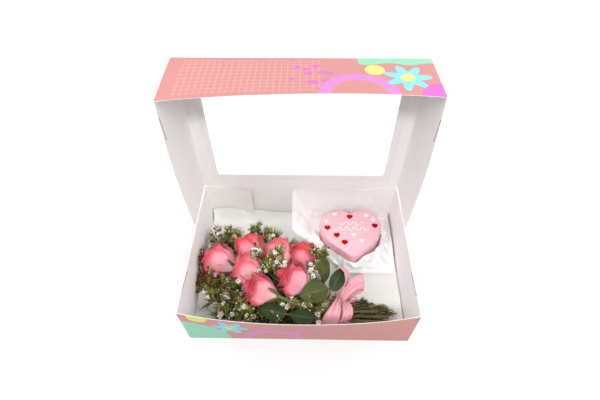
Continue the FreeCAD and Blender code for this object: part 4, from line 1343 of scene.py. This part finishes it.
@dataclass
class Waxflower:
    """One waxflower sprig: needle-leaved twigs, small white flowers and dark buds on a stem.

    Sizes are in millimetres and points are measured from the tie. Each further head has its foot, the way it
    leans, its reach and its number of twigs.
    """

    number: int
    bend: tuple
    head: tuple
    heading: tuple
    reach: float
    twigs: int
    red: float
    more: tuple
    stem_end: float = 138.4
    stem_gap: float = 3.2
    half_row: float = 11.2
    cut_step: float = 44.0
    needle: float = 10.5
    needle_half: float = 0.66
    flower: float = 3.4
    bloom: float = 0.12
    left_wall: float = -147.5
    right_wall: float = 147.0
    front_wall: float = -102.0
    back_wall: float = 103.0
    liner: float = 1.6
    paper_room: float = 9.0
    urn: tuple = ((0.0, 0.35), (0.35, 0.85), (0.62, 1.0), (0.85, 0.75))
    petal: tuple = ((0.28, 0.16, 0.0), (0.62, 0.40, 0.10), (0.92, 0.36, 0.30), (1.0, 0.12, 0.40))

    def __post_init__(self) -> None:
        """Start with nothing grown, and with chance numbers of its own."""
        self.shell = Shell()
        self.rng = random.Random(400 + self.number)

    def inside(self, point: np.ndarray) -> np.ndarray:
        """Keep a point inside the tray, above the liner and off the cake's paper.

        Args:
            point: any point of a twig.

        Returns:
            The nearest point that has room.
        """
        x, y, z = np.maximum(point, (self.left_wall, self.front_wall, self.liner))
        over = past_border(x, y) + self.paper_room
        if x > -14 and over > 0:
            x, y = x - BORDER_WAY[0] * over, y - BORDER_WAY[1] * over
        return np.array([min(x, self.right_wall), min(y, self.back_wall), z])

    def spray(self, heading: np.ndarray, spread: float) -> np.ndarray:
        """A chance direction about a heading."""
        side = unit(np.array([self.rng.gauss(0, 1) for _ in range(3)]))
        return unit(unit(heading) + spread * side)

    def add_twig(self, line: np.ndarray | list, radii: np.ndarray | float, sides: int = 5,
                 growth: Growth = Growth.TWIG) -> None:
        """Add one twig along a line."""
        self.shell.add_tube(np.array(line), radii, sides, growth.value)

    def add_flower(self, centre: np.ndarray, axis: np.ndarray) -> None:
        """Add one open flower of five cupped petals round a coloured eye.

        Args:
            centre: the flower's middle.
            axis: where it looks.
        """
        axis = unit(axis)
        side = unit(np.cross(axis, (0.3, 0.5, 0.8)))
        other = np.cross(axis, side)
        size = self.flower * self.rng.uniform(0.85, 1.15)
        start = self.rng.uniform(0, 6)
        for k in range(5):
            turn = start + k * 2 * math.pi / 5
            ahead = math.cos(turn) * side + math.sin(turn) * other
            across = np.cross(axis, ahead)
            rows = [[centre + size * (far * ahead + half * q * across + (lift + 0.1 * q * q) * axis)
                     for q in (-1.0, 0.0, 1.0)] for far, half, lift in self.petal]
            self.shell.add_grid(np.array(rows), Growth.PETAL.value)
        self.add_bud(centre - axis * 0.5 * size, axis, 0.34 * size, 0.7 * size, Growth.EYE)

    def add_bud(self, foot: np.ndarray, axis: np.ndarray, radius: float, long: float, growth: Growth) -> None:
        """Add one closed bud, a small urn that is widest above its middle.

        Args:
            foot: where it starts.
            axis: where it points.
            radius: its half width.
            long: its length.
            growth: which bud it is.
        """
        side = unit(np.cross(axis, (0.3, 0.5, 0.8)))
        other = np.cross(axis, side)
        rings = [ring_round(foot + axis * long * high, side, other, radius * wide, 6)
                 for high, wide in self.urn]
        self.shell.add_rings(rings, foot + axis * long, number=growth.value)

    def add_needles(self, line: np.ndarray, gap: float, scale: float) -> None:
        """Set needle leaves along a twig, three at every step.

        Args:
            line: the twig's points.
            gap: how far apart the steps are.
            scale: their length, as a share of a full one.
        """
        route = Route(line)
        for spot in np.arange(gap, route.far[-1], gap):
            root = route.at(spot)
            ahead = unit(route.at(spot + 1) - route.at(spot - 1))
            for _ in range(3):
                point = self.spray(ahead, 0.62)
                long = self.needle * scale * self.rng.uniform(0.6, 1.25)
                tip = self.inside(root + point * long)
                bow = np.cross(point, ahead) * 0.05 * long + ahead * 0.06 * long
                half = self.needle_half * self.rng.uniform(0.8, 1.2)
                self.shell.add_spike(root, tip, half, bow, Growth.NEEDLE.value)

    def add_head(self, foot: np.ndarray, heading: np.ndarray, reach: float, twigs: int) -> None:
        """Grow the branched head of a sprig.

        Args:
            foot: where the twigs part.
            heading: where the head leans.
            reach: how far its twigs go.
            twigs: how many there are.
        """
        rng = self.rng
        for _ in range(twigs):
            way = self.spray(heading, 0.75)
            long = reach * rng.uniform(0.75, 1.45)
            bend = UPWARD * rng.uniform(-0.1, 0.25) * long
            start = foot - unit(heading) * rng.uniform(0, 6)
            line = np.array([self.inside(start + way * long * t + bend * t * t)
                             for t in np.linspace(0, 1, 6)])
            self.add_twig(line, np.linspace(0.55, 0.3, 6))
            self.add_needles(line, 2.3, 1.0)
            for _ in range(rng.randint(2, 4) + (3 if self.red > 0.9 else 0)):
                root = line[rng.randint(3, 5)]
                point = self.spray(unit(line[-1] - line[-2]) + 0.35 * UPWARD, 0.8)
                tip = self.inside(root + point * rng.uniform(3.5, 7.0))
                stalk = [root, (root + tip) / 2 + 0.4 * UPWARD, tip]
                self.add_twig(stalk, np.array([0.28, 0.24, 0.3]), 4, Growth.NEEDLE)
                if rng.random() < self.bloom * (1.3 - self.red):
                    self.add_flower(tip, point + 0.6 * UPWARD)
                    continue
                growth, wide = Growth.RED_BUD, 1.45
                if rng.random() >= self.red:
                    growth, wide = rng.choice((Growth.PETAL, Growth.PINK_BUD, Growth.GREEN_BUD)), 1.0
                self.add_bud(tip, point, wide * rng.uniform(0.9, 1.4), wide * rng.uniform(2.0, 3.2), growth)

    def add_stalks(self, slot: float, rear: float) -> None:
        """Add the thin cut stalks of the side branches, which leave the tie beside the main stem.

        Args:
            slot: the stem's place across the tie.
            rear: nought for the foremost stem and one for the rearmost.
        """
        rng = self.rng
        for _ in range(5):
            y = slot * 0.95 + rng.uniform(-2.0, 2.0)
            z = rng.uniform(4.0, 15.5)
            end = np.array([self.stem_end - 40 * rear + rng.uniform(-9.0, 2.0),
                            -69 + 17 * rear + rng.uniform(-3, 3), TIE[2] + z * rng.uniform(0.45, 0.8)])
            start = TIE + np.array([-8.0, y, z])
            line = np.array([start + (end - start) * t + UPWARD * 1.5 * math.sin(t * math.pi)
                             for t in np.linspace(0, 1, 7)])
            self.add_twig(line, np.linspace(1.1, 0.8, 7), 6)
            self.add_needles(line[3:], 16.0, 0.8)

    def add_shoots(self, line: np.ndarray) -> None:
        """Add short leafy side shoots along the low part of the stem.

        Args:
            line: the stem's points beyond the tie.
        """
        rng = self.rng
        route = Route(line)
        for spot in np.arange(3.0, route.far[-1], 5.5):
            root = route.at(spot)
            way = unit(np.array([rng.uniform(-1.0, 0.2), rng.uniform(-1, 1), rng.uniform(0.5, 1.3)]))
            long = rng.uniform(13, 22)
            twig = np.array([self.inside(root + way * long * t) for t in np.linspace(0, 1, 5)])
            self.add_twig(twig, np.linspace(0.6, 0.35, 5))
            self.add_needles(twig, 2.4, 1.1)

    def build(self, finishes: list) -> None:
        """Make the sprig with its stem and its heads.

        Args:
            finishes: a material for each growth.
        """
        slot = self.half_row - self.stem_gap * (self.number - 1)
        rear = (slot + self.half_row) / (2 * self.half_row)
        head = TIE + np.array(self.head, float)
        heading = unit(np.array(self.heading, float))
        cut = 6 + self.number % 3 * 2 + self.cut_step * rear
        end = np.array([self.stem_end - cut, TIE[1] + slot * 1.2, TIE[2] + self.stem_gap])
        bound = TIE + np.array((-20.0, slot, self.stem_gap))
        line = rounded([head + heading, TIE + np.array(self.bend), bound, end])
        self.add_twig(line, 0.9, 7)
        tail = line[line[:, 0] > TIE[0] + 16]
        if len(tail) > 1:
            self.add_needles(np.linspace(tail[0], tail[-1], 9), 7.0, 0.8)
        self.add_stalks(slot, rear)
        self.add_shoots(line[line[:, 0] < TIE[0] - 20])
        self.add_head(head, heading, self.reach, self.twigs)
        for foot, lean, reach, twigs in self.more:
            start = TIE + np.array(foot, float)
            joint = line[int(np.argmin(np.linalg.norm(line - start, axis=1)))]
            branch = rounded([joint, (joint + start) / 2 + 2.0 * UPWARD, start])
            self.add_twig(branch, 0.6)
            self.add_needles(branch, 2.4, 0.9)
            self.add_head(start, np.array(lean, float), reach, twigs)
        self.shell.make_piece(f"waxflower_{self.number}", finishes, "bouquet", "waxflower",
                              (f"waxflower_sprig_{self.number}",))


@dataclass
class Bow:
    """Satin ribbon bow over the tie. Sizes in millimetres.

    Each spine row has a place, the way across the ribbon and the share of its width that shows.
    """

    width: float = 24.0
    cloth: float = 0.25
    band_left: float = 45.5
    band_right: float = 70.5
    band_centre: tuple = (-73.0, 10.5)
    band_half: tuple = (14.6, 9.3)
    knot: tuple = (58.0, -69.0, 27.6)
    knot_length: float = 12.0
    knot_half: tuple = (5.6, 4.6)
    loops: dict = field(default_factory=lambda: {
        "ribbon_loop_right": ((60, -61, 30, -0.5, 0.7, 0.5, 0.35), (67, -52, 36, -0.45, 0.7, 0.55, 0.6),
                              (76, -45, 42, -0.3, 0.75, 0.6, 0.78), (84, -42, 46, -0.1, 0.77, 0.64, 0.88),
                              (90, -41, 44, 0.0, 0.77, 0.64, 0.88), (87, -42, 38, -0.1, 0.77, 0.6, 0.84),
                              (75, -49, 33, -0.3, 0.75, 0.5, 0.6), (62, -59, 28, -0.5, 0.7, 0.4, 0.35)),
        "ribbon_loop_back": ((57, -56, 30, 0.25, 0.55, -0.75, 0.35), (53, -43, 37, 0.25, 0.55, -0.75, 0.6),
                             (49, -33, 42, 0.25, 0.55, -0.75, 0.65), (52, -24, 45, 0.25, 0.55, -0.75, 0.65),
                             (59, -19, 46, 0.3, 0.5, -0.75, 0.65), (67, -26, 45, 0.4, 0.5, -0.7, 0.65),
                             (68, -33, 43, 0.4, 0.5, -0.7, 0.65), (65, -41, 39, 0.35, 0.5, -0.7, 0.6),
                             (59, -57, 30, 0.3, 0.5, -0.7, 0.35)),
        "ribbon_loop_front": ((60, -65, 31, 0.9, 0.3, 0.2, 0.35), (64, -71, 36, 0.93, 0.25, 0.2, 0.5),
                              (66, -80, 38, 0.95, 0.2, 0.1, 0.6), (64.5, -88, 34, 0.95, 0.2, 0.1, 0.64),
                              (61, -90, 28, 0.95, 0.2, 0.1, 0.64), (61, -78, 25, 0.95, 0.2, 0.1, 0.55),
                              (59, -66, 27, 0.9, 0.3, 0.1, 0.35)),
        "ribbon_tail_front": ((56, -60, 30, 0.75, -0.5, 0.2, 0.35), (52, -69, 35, 0.85, -0.35, 0.2, 0.5),
                              (48, -79, 35, 0.93, -0.2, 0.1, 0.75), (44, -88, 30, 0.97, -0.1, 0.1, 0.98),
                              (41, -95, 22, 0.98, 0.0, 0.1, 1.0)),
    })
    end_route: tuple = ((62, -62, 28), (69, -61, 28), (75, -60, 29), (79, -60, 32), (77, -62, 35),
                        (73.5, -62, 33.5), (74.5, -61, 31))
    end_across: tuple = (0.1, -0.7, 0.7)
    end_shares: tuple = (0.3, 0.42, 0.46, 0.46, 0.46, 0.46, 0.46)

    def strip(self, spine: tuple, count: int) -> np.ndarray:
        """Shape one length of ribbon, gathered where it leaves the knot.

        Args:
            spine: places, width directions and share of the full width.
            count: rows along the ribbon.

        Returns:
            Rows of points across the ribbon.
        """
        values = through(spine, count)
        a = np.linspace(-1, 1, 15)
        rows = []
        for k, row in enumerate(values):
            centre, across, share = row[:3], unit(row[3:6]), row[6]
            ahead = unit(values[min(k + 1, count - 1)][:3] - values[max(k - 1, 0)][:3])
            normal = unit(np.cross(ahead, across))
            gather = max(0.0, 1 - share)
            pleat = gather * 2.2 * np.sin(a * 7.5 + 0.6) + (0.5 + gather) * (1 - a ** 2) * 1.2
            rows.append(centre + np.outer(a * self.width / 2 * share, across) + np.outer(pleat, normal))
        return np.array(rows)

    @staticmethod
    def oval(turn: float, power: float) -> tuple[float, float]:
        """Point of a circle that is squared off by a power under one."""
        c, s = math.cos(turn), math.sin(turn)
        return math.copysign(abs(c) ** power, c), math.copysign(abs(s) ** power, s)

    def build(self, finish: bpy.types.Material) -> None:
        """Make the loops, the band, the knot and the rolled end.

        Args:
            finish: the satin.
        """
        for name, spine in self.loops.items():
            rows = self.strip(spine, 44)
            piece = Shell(rows).make_piece(name + "_satin", [finish], "bouquet", "satin_ribbon", (name,),
                                           self.cloth)
        self.wrap_band(finish)
        self.tie_knot(finish)
        self.curl_end(finish)

    def wrap_band(self, finish: bpy.types.Material) -> None:
        """Wrap the ribbon round the stems with shallow gathers.

        Args:
            finish: the satin.
        """
        rows = []
        for turn in np.linspace(0, 2 * math.pi, 61):
            row = []
            y, z = self.oval(turn, 0.7)
            for share in np.linspace(0, 1, 13):
                ripple = 1 + 0.03 * math.sin(share * 19 + 2 * math.sin(turn)) - 0.05 * (2 * share - 1) ** 2
                row.append((self.band_left + (self.band_right - self.band_left) * share,
                            self.band_centre[0] + self.band_half[0] * ripple * y,
                            self.band_centre[1] + self.band_half[1] * ripple * z))
            rows.append(row)
        piece = Shell(rows).make_piece("ribbon_band_satin", [finish], "bouquet", "satin_ribbon",
                                       ("ribbon_band", "binding_tie"))

    def tie_knot(self, finish: bpy.types.Material) -> None:
        """Pull the ribbon into a creased knot.

        Args:
            finish: the satin.
        """
        x, y, z = self.knot
        rings = []
        for s in np.linspace(0, 1, 25):
            ring = []
            high = math.sin(math.pi * (0.06 + 0.88 * s)) ** 0.55
            for turn in np.linspace(0, 2 * math.pi, 41)[:-1]:
                crease = high * (1 + 0.10 * math.sin(turn * 6 + 2.5 * s) * math.sin(math.pi * s))
                across, up = self.oval(turn, 0.8)
                ring.append((x + self.knot_half[0] * crease * across, y + self.knot_length * s,
                             z + self.knot_half[1] * crease * up))
            rings.append(ring)
        shell = Shell()
        shell.add_rings(rings, (x, y + self.knot_length, z), self.knot)
        shell.make_piece("ribbon_knot_satin", [finish], "bouquet", "satin_ribbon", ("ribbon_knot",))

    def curl_end(self, finish: bpy.types.Material) -> None:
        """Roll the ribbon's short free end beside the knot.

        Args:
            finish: the satin.
        """
        places = zip(self.end_route, self.end_shares)
        rows = self.strip(tuple((*spot, *self.end_across, share) for spot, share in places), 30)
        piece = Shell(rows).make_piece("ribbon_short_end_satin", [finish], "bouquet", "satin_ribbon", (),
                                       self.cloth)


@dataclass
class Bouquet:
    """Hand-tied roses, foliage and waxflower. Sizes in millimetres; points are measured from the tie."""

    roses: list = field(default_factory=lambda: [
        Rose(1, (-176, 72, 29.0), (-0.88, 0.42, 0.2), Tint.BLUSH, 0.7, 56.0, 24.0),
        Rose(2, (-130, 52, 37.3), (-0.78, 0.55, 0.29), Tint.BLUSH, 0.5, 54.0),
        Rose(3, (-130, 92, 29.3), (-0.42, 0.88, 0.12), Tint.CORAL, 0.5),
        Rose(4, (-110, 15, 50.0), (-0.93, 0.20, 0.27), Tint.PINK, 1.0, 50.0, 21.0),
        Rose(5, (-87, 85, 30.8), (-0.25, 0.95, 0.15), Tint.BLUSH, 0.6),
        Rose(6, (-64, 33, 45.3), (-0.90, 0.36, 0.27), Tint.PINK, 1.0, 54.0, 23.0),
        Rose(7, (-49, 77, 31.9), (-0.20, 0.95, 0.20), Tint.CORAL, 0.5, 50.0, 21.0),
    ])
    leaves: list = field(default_factory=lambda: [
        Leaf(1, (-23, 33, 40), (-32, 82, 46), 22, (0.5, 0.1, 1), 8.4, LeafKind.GREY),
        Leaf(2, (-18, 22, 42), (-56, 6, 52), 31, (0.1, -0.3, 1), 0.0, LeafKind.GREY, 0.95),
        Leaf(3, (-13, 18, 42), (3, 51, 50), 21, (0.2, -0.2, 1), 4.2, LeafKind.DARK),
        Leaf(4, (-74, -13, 36), (-114, -5, 37), 22, (0, -0.5, 1), -12.0, LeafKind.DARK),
        Leaf(5, (-36, -19, 38), (-72, -13, 38), 20, (0, -0.6, 1), -9.2, LeafKind.DARK),
    ])
    sprigs: list = field(default_factory=lambda: [
        Waxflower(1, (-23, 82, 3.2), (-22, 88, 27), (-0.2, 0.1, 1), 12, 6, 0.2,
                  (((-36, 80, 44), (-0.1, 0, 1), 9, 4), ((-42, 50, 46), (0, 0, 1), 9, 5),
                   ((-40, 38, 44), (0.1, 0, 1), 9, 4))),
        Waxflower(2, (-112, 116, 3.2), (-116, 122, 22), (-0.1, 0.15, 1), 14, 8, 0.15,
                  (((-134, 126, 24), (-0.1, 0.2, 1), 12, 6), ((-97, 114, 22), (0.2, 0.2, 1), 13, 6),
                   ((-78, 103, 24), (0.3, 0.2, 1), 12, 6), ((-62, 98, 24), (0.3, 0.2, 1), 11, 5))),
        Waxflower(3, (-100, 66, 3.2), (-100, 67, 34), (0, 0.1, 1), 12, 7, 0.1,
                  (((-84, 58, 34), (0.1, 0, 1), 11, 6), ((-112, 48, 40), (0, 0, 1), 10, 6),
                   ((-124, 74, 38), (0, 0, 1), 11, 7), ((-86, 76, 48), (0, 0, 1), 8, 5),
                   ((-104, 60, 42), (0, 0, 1), 9, 5))),
        Waxflower(4, (-162, 100, 3.2), (-174, 116, 20), (-0.35, 0.3, 0.8), 17, 9, 0.2,
                  (((-190, 124, 20), (-0.2, 0.3, 1), 13, 7), ((-160, 118, 20), (0.0, 0.3, 1), 14, 7),
                   ((-186, 108, 16), (-0.3, 0.2, 1), 13, 6), ((-150, 108, 24), (0, 0.2, 1), 12, 5))),
        Waxflower(5, (-180, 45, 3.2), (-191, 45, 18), (-0.2, 0, 0.95), 14, 8, 0.95,
                  (((-203, 74, 26), (-0.1, 0.1, 1), 11, 6), ((-203, 34, 16), (-0.1, 0, 1), 11, 5),
                   ((-200, 58, 18), (-0.4, 0, 0.9), 12, 5), ((-178, 42, 20), (-0.1, 0, 1), 12, 6))),
        Waxflower(6, (-176, 18, 3.2), (-188, 17, 12), (-0.1, 0.2, 0.9), 11, 5, 0.2,
                  (((-160, 24, 20), (-0.2, -0.1, 1), 14, 8), ((-172, 32, 16), (-0.2, 0, 1), 13, 7),
                   ((-150, 34, 22), (-0.1, 0, 1), 12, 7), ((-146, 18, 20), (-0.1, -0.1, 1), 13, 7))),
        Waxflower(7, (-155, -6, 3.2), (-166, -8, 9), (-0.5, 0.0, 0.8), 12, 6, 0.12,
                  (((-140, 2, 16), (-0.2, -0.2, 1), 14, 8), ((-124, -8, 16), (-0.2, -0.2, 1), 13, 7),
                   ((-156, 6, 14), (-0.3, -0.1, 1), 14, 8), ((-132, 14, 18), (-0.1, -0.1, 1), 14, 8))),
        Waxflower(8, (-110, -14, 3.2), (-122, -16, 8), (-0.6, -0.05, 0.6), 16, 9, 0.12,
                  (((-92, -14, 20), (0, -0.2, 1), 13, 6), ((-108, 2, 20), (0, -0.1, 1), 13, 8),
                   ((-84, 6, 22), (0, -0.1, 1), 13, 8), ((-64, 0, 26), (0.1, -0.1, 1), 12, 8),
                   ((-48, 2, 28), (0.1, -0.1, 1), 12, 8), ((-34, -6, 22), (0.1, -0.2, 1), 11, 6),
                   ((-24, -2, 22), (0.2, -0.1, 1), 10, 5), ((-14, 12, 18), (0.1, 0.3, 1), 9, 6))),
    ])

    def build(self, nodes: dict[str, bpy.types.Object]) -> None:
        """Make every flower, leaf and ribbon, and dress the stems.

        Args:
            nodes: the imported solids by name.
        """
        stem = PlantSkin("green rose stem", "5A6C34", "6E5030", 9.0, 0.5).build()
        growths = {
            # The twig and needle skins end with their share of painted shade low in the bunch
            Growth.TWIG: PlantSkin("waxflower twig", "84643C", "4A3A20", 5.0, 0.6, 0.0, 0.4),
            Growth.NEEDLE: PlantSkin("waxflower needle", "AEBE42", "344A12", 9.0, 0.5, 0.0, 0.62),
            Growth.PETAL: PlantSkin("waxflower petal", "FBF3F2", "F6DEE2", 3.0, 0.45, 0.2),
            Growth.EYE: PlantSkin("waxflower eye", "D8CC98", "C08A80", 1.2, 0.4),
            Growth.RED_BUD: PlantSkin("waxflower red bud", "7A1626", "571220", 2.0, 0.35),
            Growth.PINK_BUD: PlantSkin("waxflower pink bud", "D88A92", "A84A56", 2.0, 0.4),
            Growth.GREEN_BUD: PlantSkin("waxflower green bud", "A8A058", "8A5A40", 1.6, 0.45),
        }
        skins = [growths[growth].build() for growth in Growth]
        petals = {tint: RosePetal(*tint.value).build() for tint in Tint}
        blades = {kind: Foliage(*kind.value).build() for kind in LeafKind}
        for rose in self.roses:
            paint(nodes[f"rose_{rose.number}_stem"], stem)
            rose.build(petals[rose.tint], stem)
        for leaf in self.leaves:
            leaf.build(blades[leaf.kind], skins[Growth.TWIG.value])
        for sprig in self.sprigs:
            sprig.build(skins)
        Bow().build(SatinRibbon("pink satin ribbon", "DD9FA7", "CC7888").build())


@dataclass
class Studio:
    """Camera, soft light and pale floor.

    The camera's place is in millimetres, the rest in metres and watts.
    """

    camera: tuple = (7.4, -300.5, 532.1)
    pitch: float = 50.07
    yaw: float = 1.22
    roll: float = -0.38
    focal_pixels: float = 386.1
    image_width: float = 600.0
    sensor_width: float = 36.0
    key_power: float = 11.2
    side_power: float = 6.6
    room_level: float = 0.75
    floor_half: float = 3.0
    floor_drop: float = 0.0004
    aim: tuple = (0.0, 0.0, 0.1)

    def build(self) -> None:
        """Set up the view, the lights and the floor."""
        self.place_camera()
        self.light()
        self.lay_floor()

    def place_camera(self) -> None:
        """Stand the camera where the photograph was taken from."""
        p, w, r = (math.radians(d) for d in (self.pitch, self.yaw, self.roll))
        ahead = Vector((-math.sin(w) * math.cos(p), math.cos(w) * math.cos(p), -math.sin(p)))
        level = Vector((math.cos(w), math.sin(w), 0.0))
        lift = level.cross(ahead)
        right = math.cos(r) * level + math.sin(r) * lift
        up = -math.sin(r) * level + math.cos(r) * lift
        data = bpy.data.cameras.new("camera")
        data.sensor_width = self.sensor_width
        data.lens = self.sensor_width * self.focal_pixels / self.image_width
        data.clip_start = 0.01
        camera = bpy.data.objects.new("camera", data)
        turned = Matrix((right, up, -ahead)).transposed().to_4x4()
        camera.matrix_world = Matrix.Translation(Vector(self.camera) * MM) @ turned
        bpy.context.scene.collection.objects.link(camera)
        bpy.context.scene.camera = camera

    def light(self) -> None:
        """Light the box from above the camera and softly from both sides, in an even pale room."""
        self.hang("front flash head", (0.0, -1.04, 1.49), 0.2, self.key_power)
        self.hang("left softbox", (-1.0, -0.28, 0.75), 0.7, 0.95 * self.side_power)
        self.hang("right softbox", (1.0, -0.28, 0.75), 0.7, 1.15 * self.side_power)
        world = bpy.data.worlds.new("pale room")
        world.use_nodes = True
        world.node_tree.nodes.clear()
        add = partial(add_node, world.node_tree)
        high = add("SeparateXYZ", add("TexCoord", out="Generated"), out=2)
        level = add("MapRange", high, -0.1, 0.9, 0.25 * self.room_level, self.room_level)
        room = add("Background", {"Color": "FFFEFD", "Strength": level})
        white = add("Background", {"Color": "FFFFFF", "Strength": 1.0})
        add("OutputWorld", add("MixShader", self.seen(add), room, white))
        bpy.context.scene.world = world
        bpy.context.scene.view_settings.view_transform = "Standard"

    def hang(self, name: str, place: tuple, size: float, power: float) -> None:
        """Hang one square lamp that looks at the box.

        Args:
            name: the lamp's name.
            place: where it hangs, in metres.
            size: its side, in metres.
            power: in watts.
        """
        data = bpy.data.lights.new(name, "AREA")
        data.shape = "SQUARE"
        data.size = size
        data.energy = power
        lamp = bpy.data.objects.new(name, data)
        lamp.location = place
        lamp.rotation_euler = (Vector(self.aim) - lamp.location).to_track_quat("-Z", "Y").to_euler()
        bpy.context.scene.collection.objects.link(lamp)

    @staticmethod
    def seen(add: NodeMaker) -> bpy.types.NodeSocket:
        """Whether a ray comes from the camera, straight or by a mirror or a clear film.

        Args:
            add: adds a node to the floor or the room.

        Returns:
            One where it does.
        """
        path = add("LightPath").node.outputs
        most = add("Math", path["Is Camera Ray"], path["Is Glossy Ray"], operation="MAXIMUM")
        return add("Math", most, path["Is Transmission Ray"], operation="MAXIMUM")

    def lay_floor(self) -> None:
        """Lay the pale floor, which shows white to the camera but for the box's soft shadow."""
        shape = bmesh.new()
        bmesh.ops.create_grid(shape, x_segments=8, y_segments=8, size=self.floor_half)
        mesh = bpy.data.meshes.new("studio_floor")
        shape.to_mesh(mesh)
        shape.free()
        floor = bpy.data.objects.new("studio_floor", mesh)
        floor.location = (0.0, 0.0, -self.floor_drop)
        bpy.context.scene.collection.objects.link(floor)
        material = bpy.data.materials.new("pale studio floor")
        material.use_nodes = True
        material.node_tree.nodes.clear()
        add = partial(add_node, material.node_tree)
        far = add("VectorMath", add("TexCoord", out="Object"), operation="LENGTH", out="Value")
        lift = add("MapRange", far, 0.14, 0.42, 0.6, 0.98)
        glow = add("Math", self.seen(add), lift, operation="MULTIPLY")
        matt = add("BsdfDiffuse", "949392")
        add("OutputMaterial", add("AddShader", matt, add("Emission", {"Strength": glow})))
        mesh.materials.append(material)


def main() -> None:
    """Build the studio and the flower box, and keep both of its boxes."""
    logging.basicConfig(level=logging.INFO, format="%(message)s")
    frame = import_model()
    Studio().build()
    Carton().dress(frame["nodes"])
    Cake().build()
    Bouquet().build(frame["nodes"])
    bpy.context.view_layer.update()


if __name__ == "__main__":
    main()
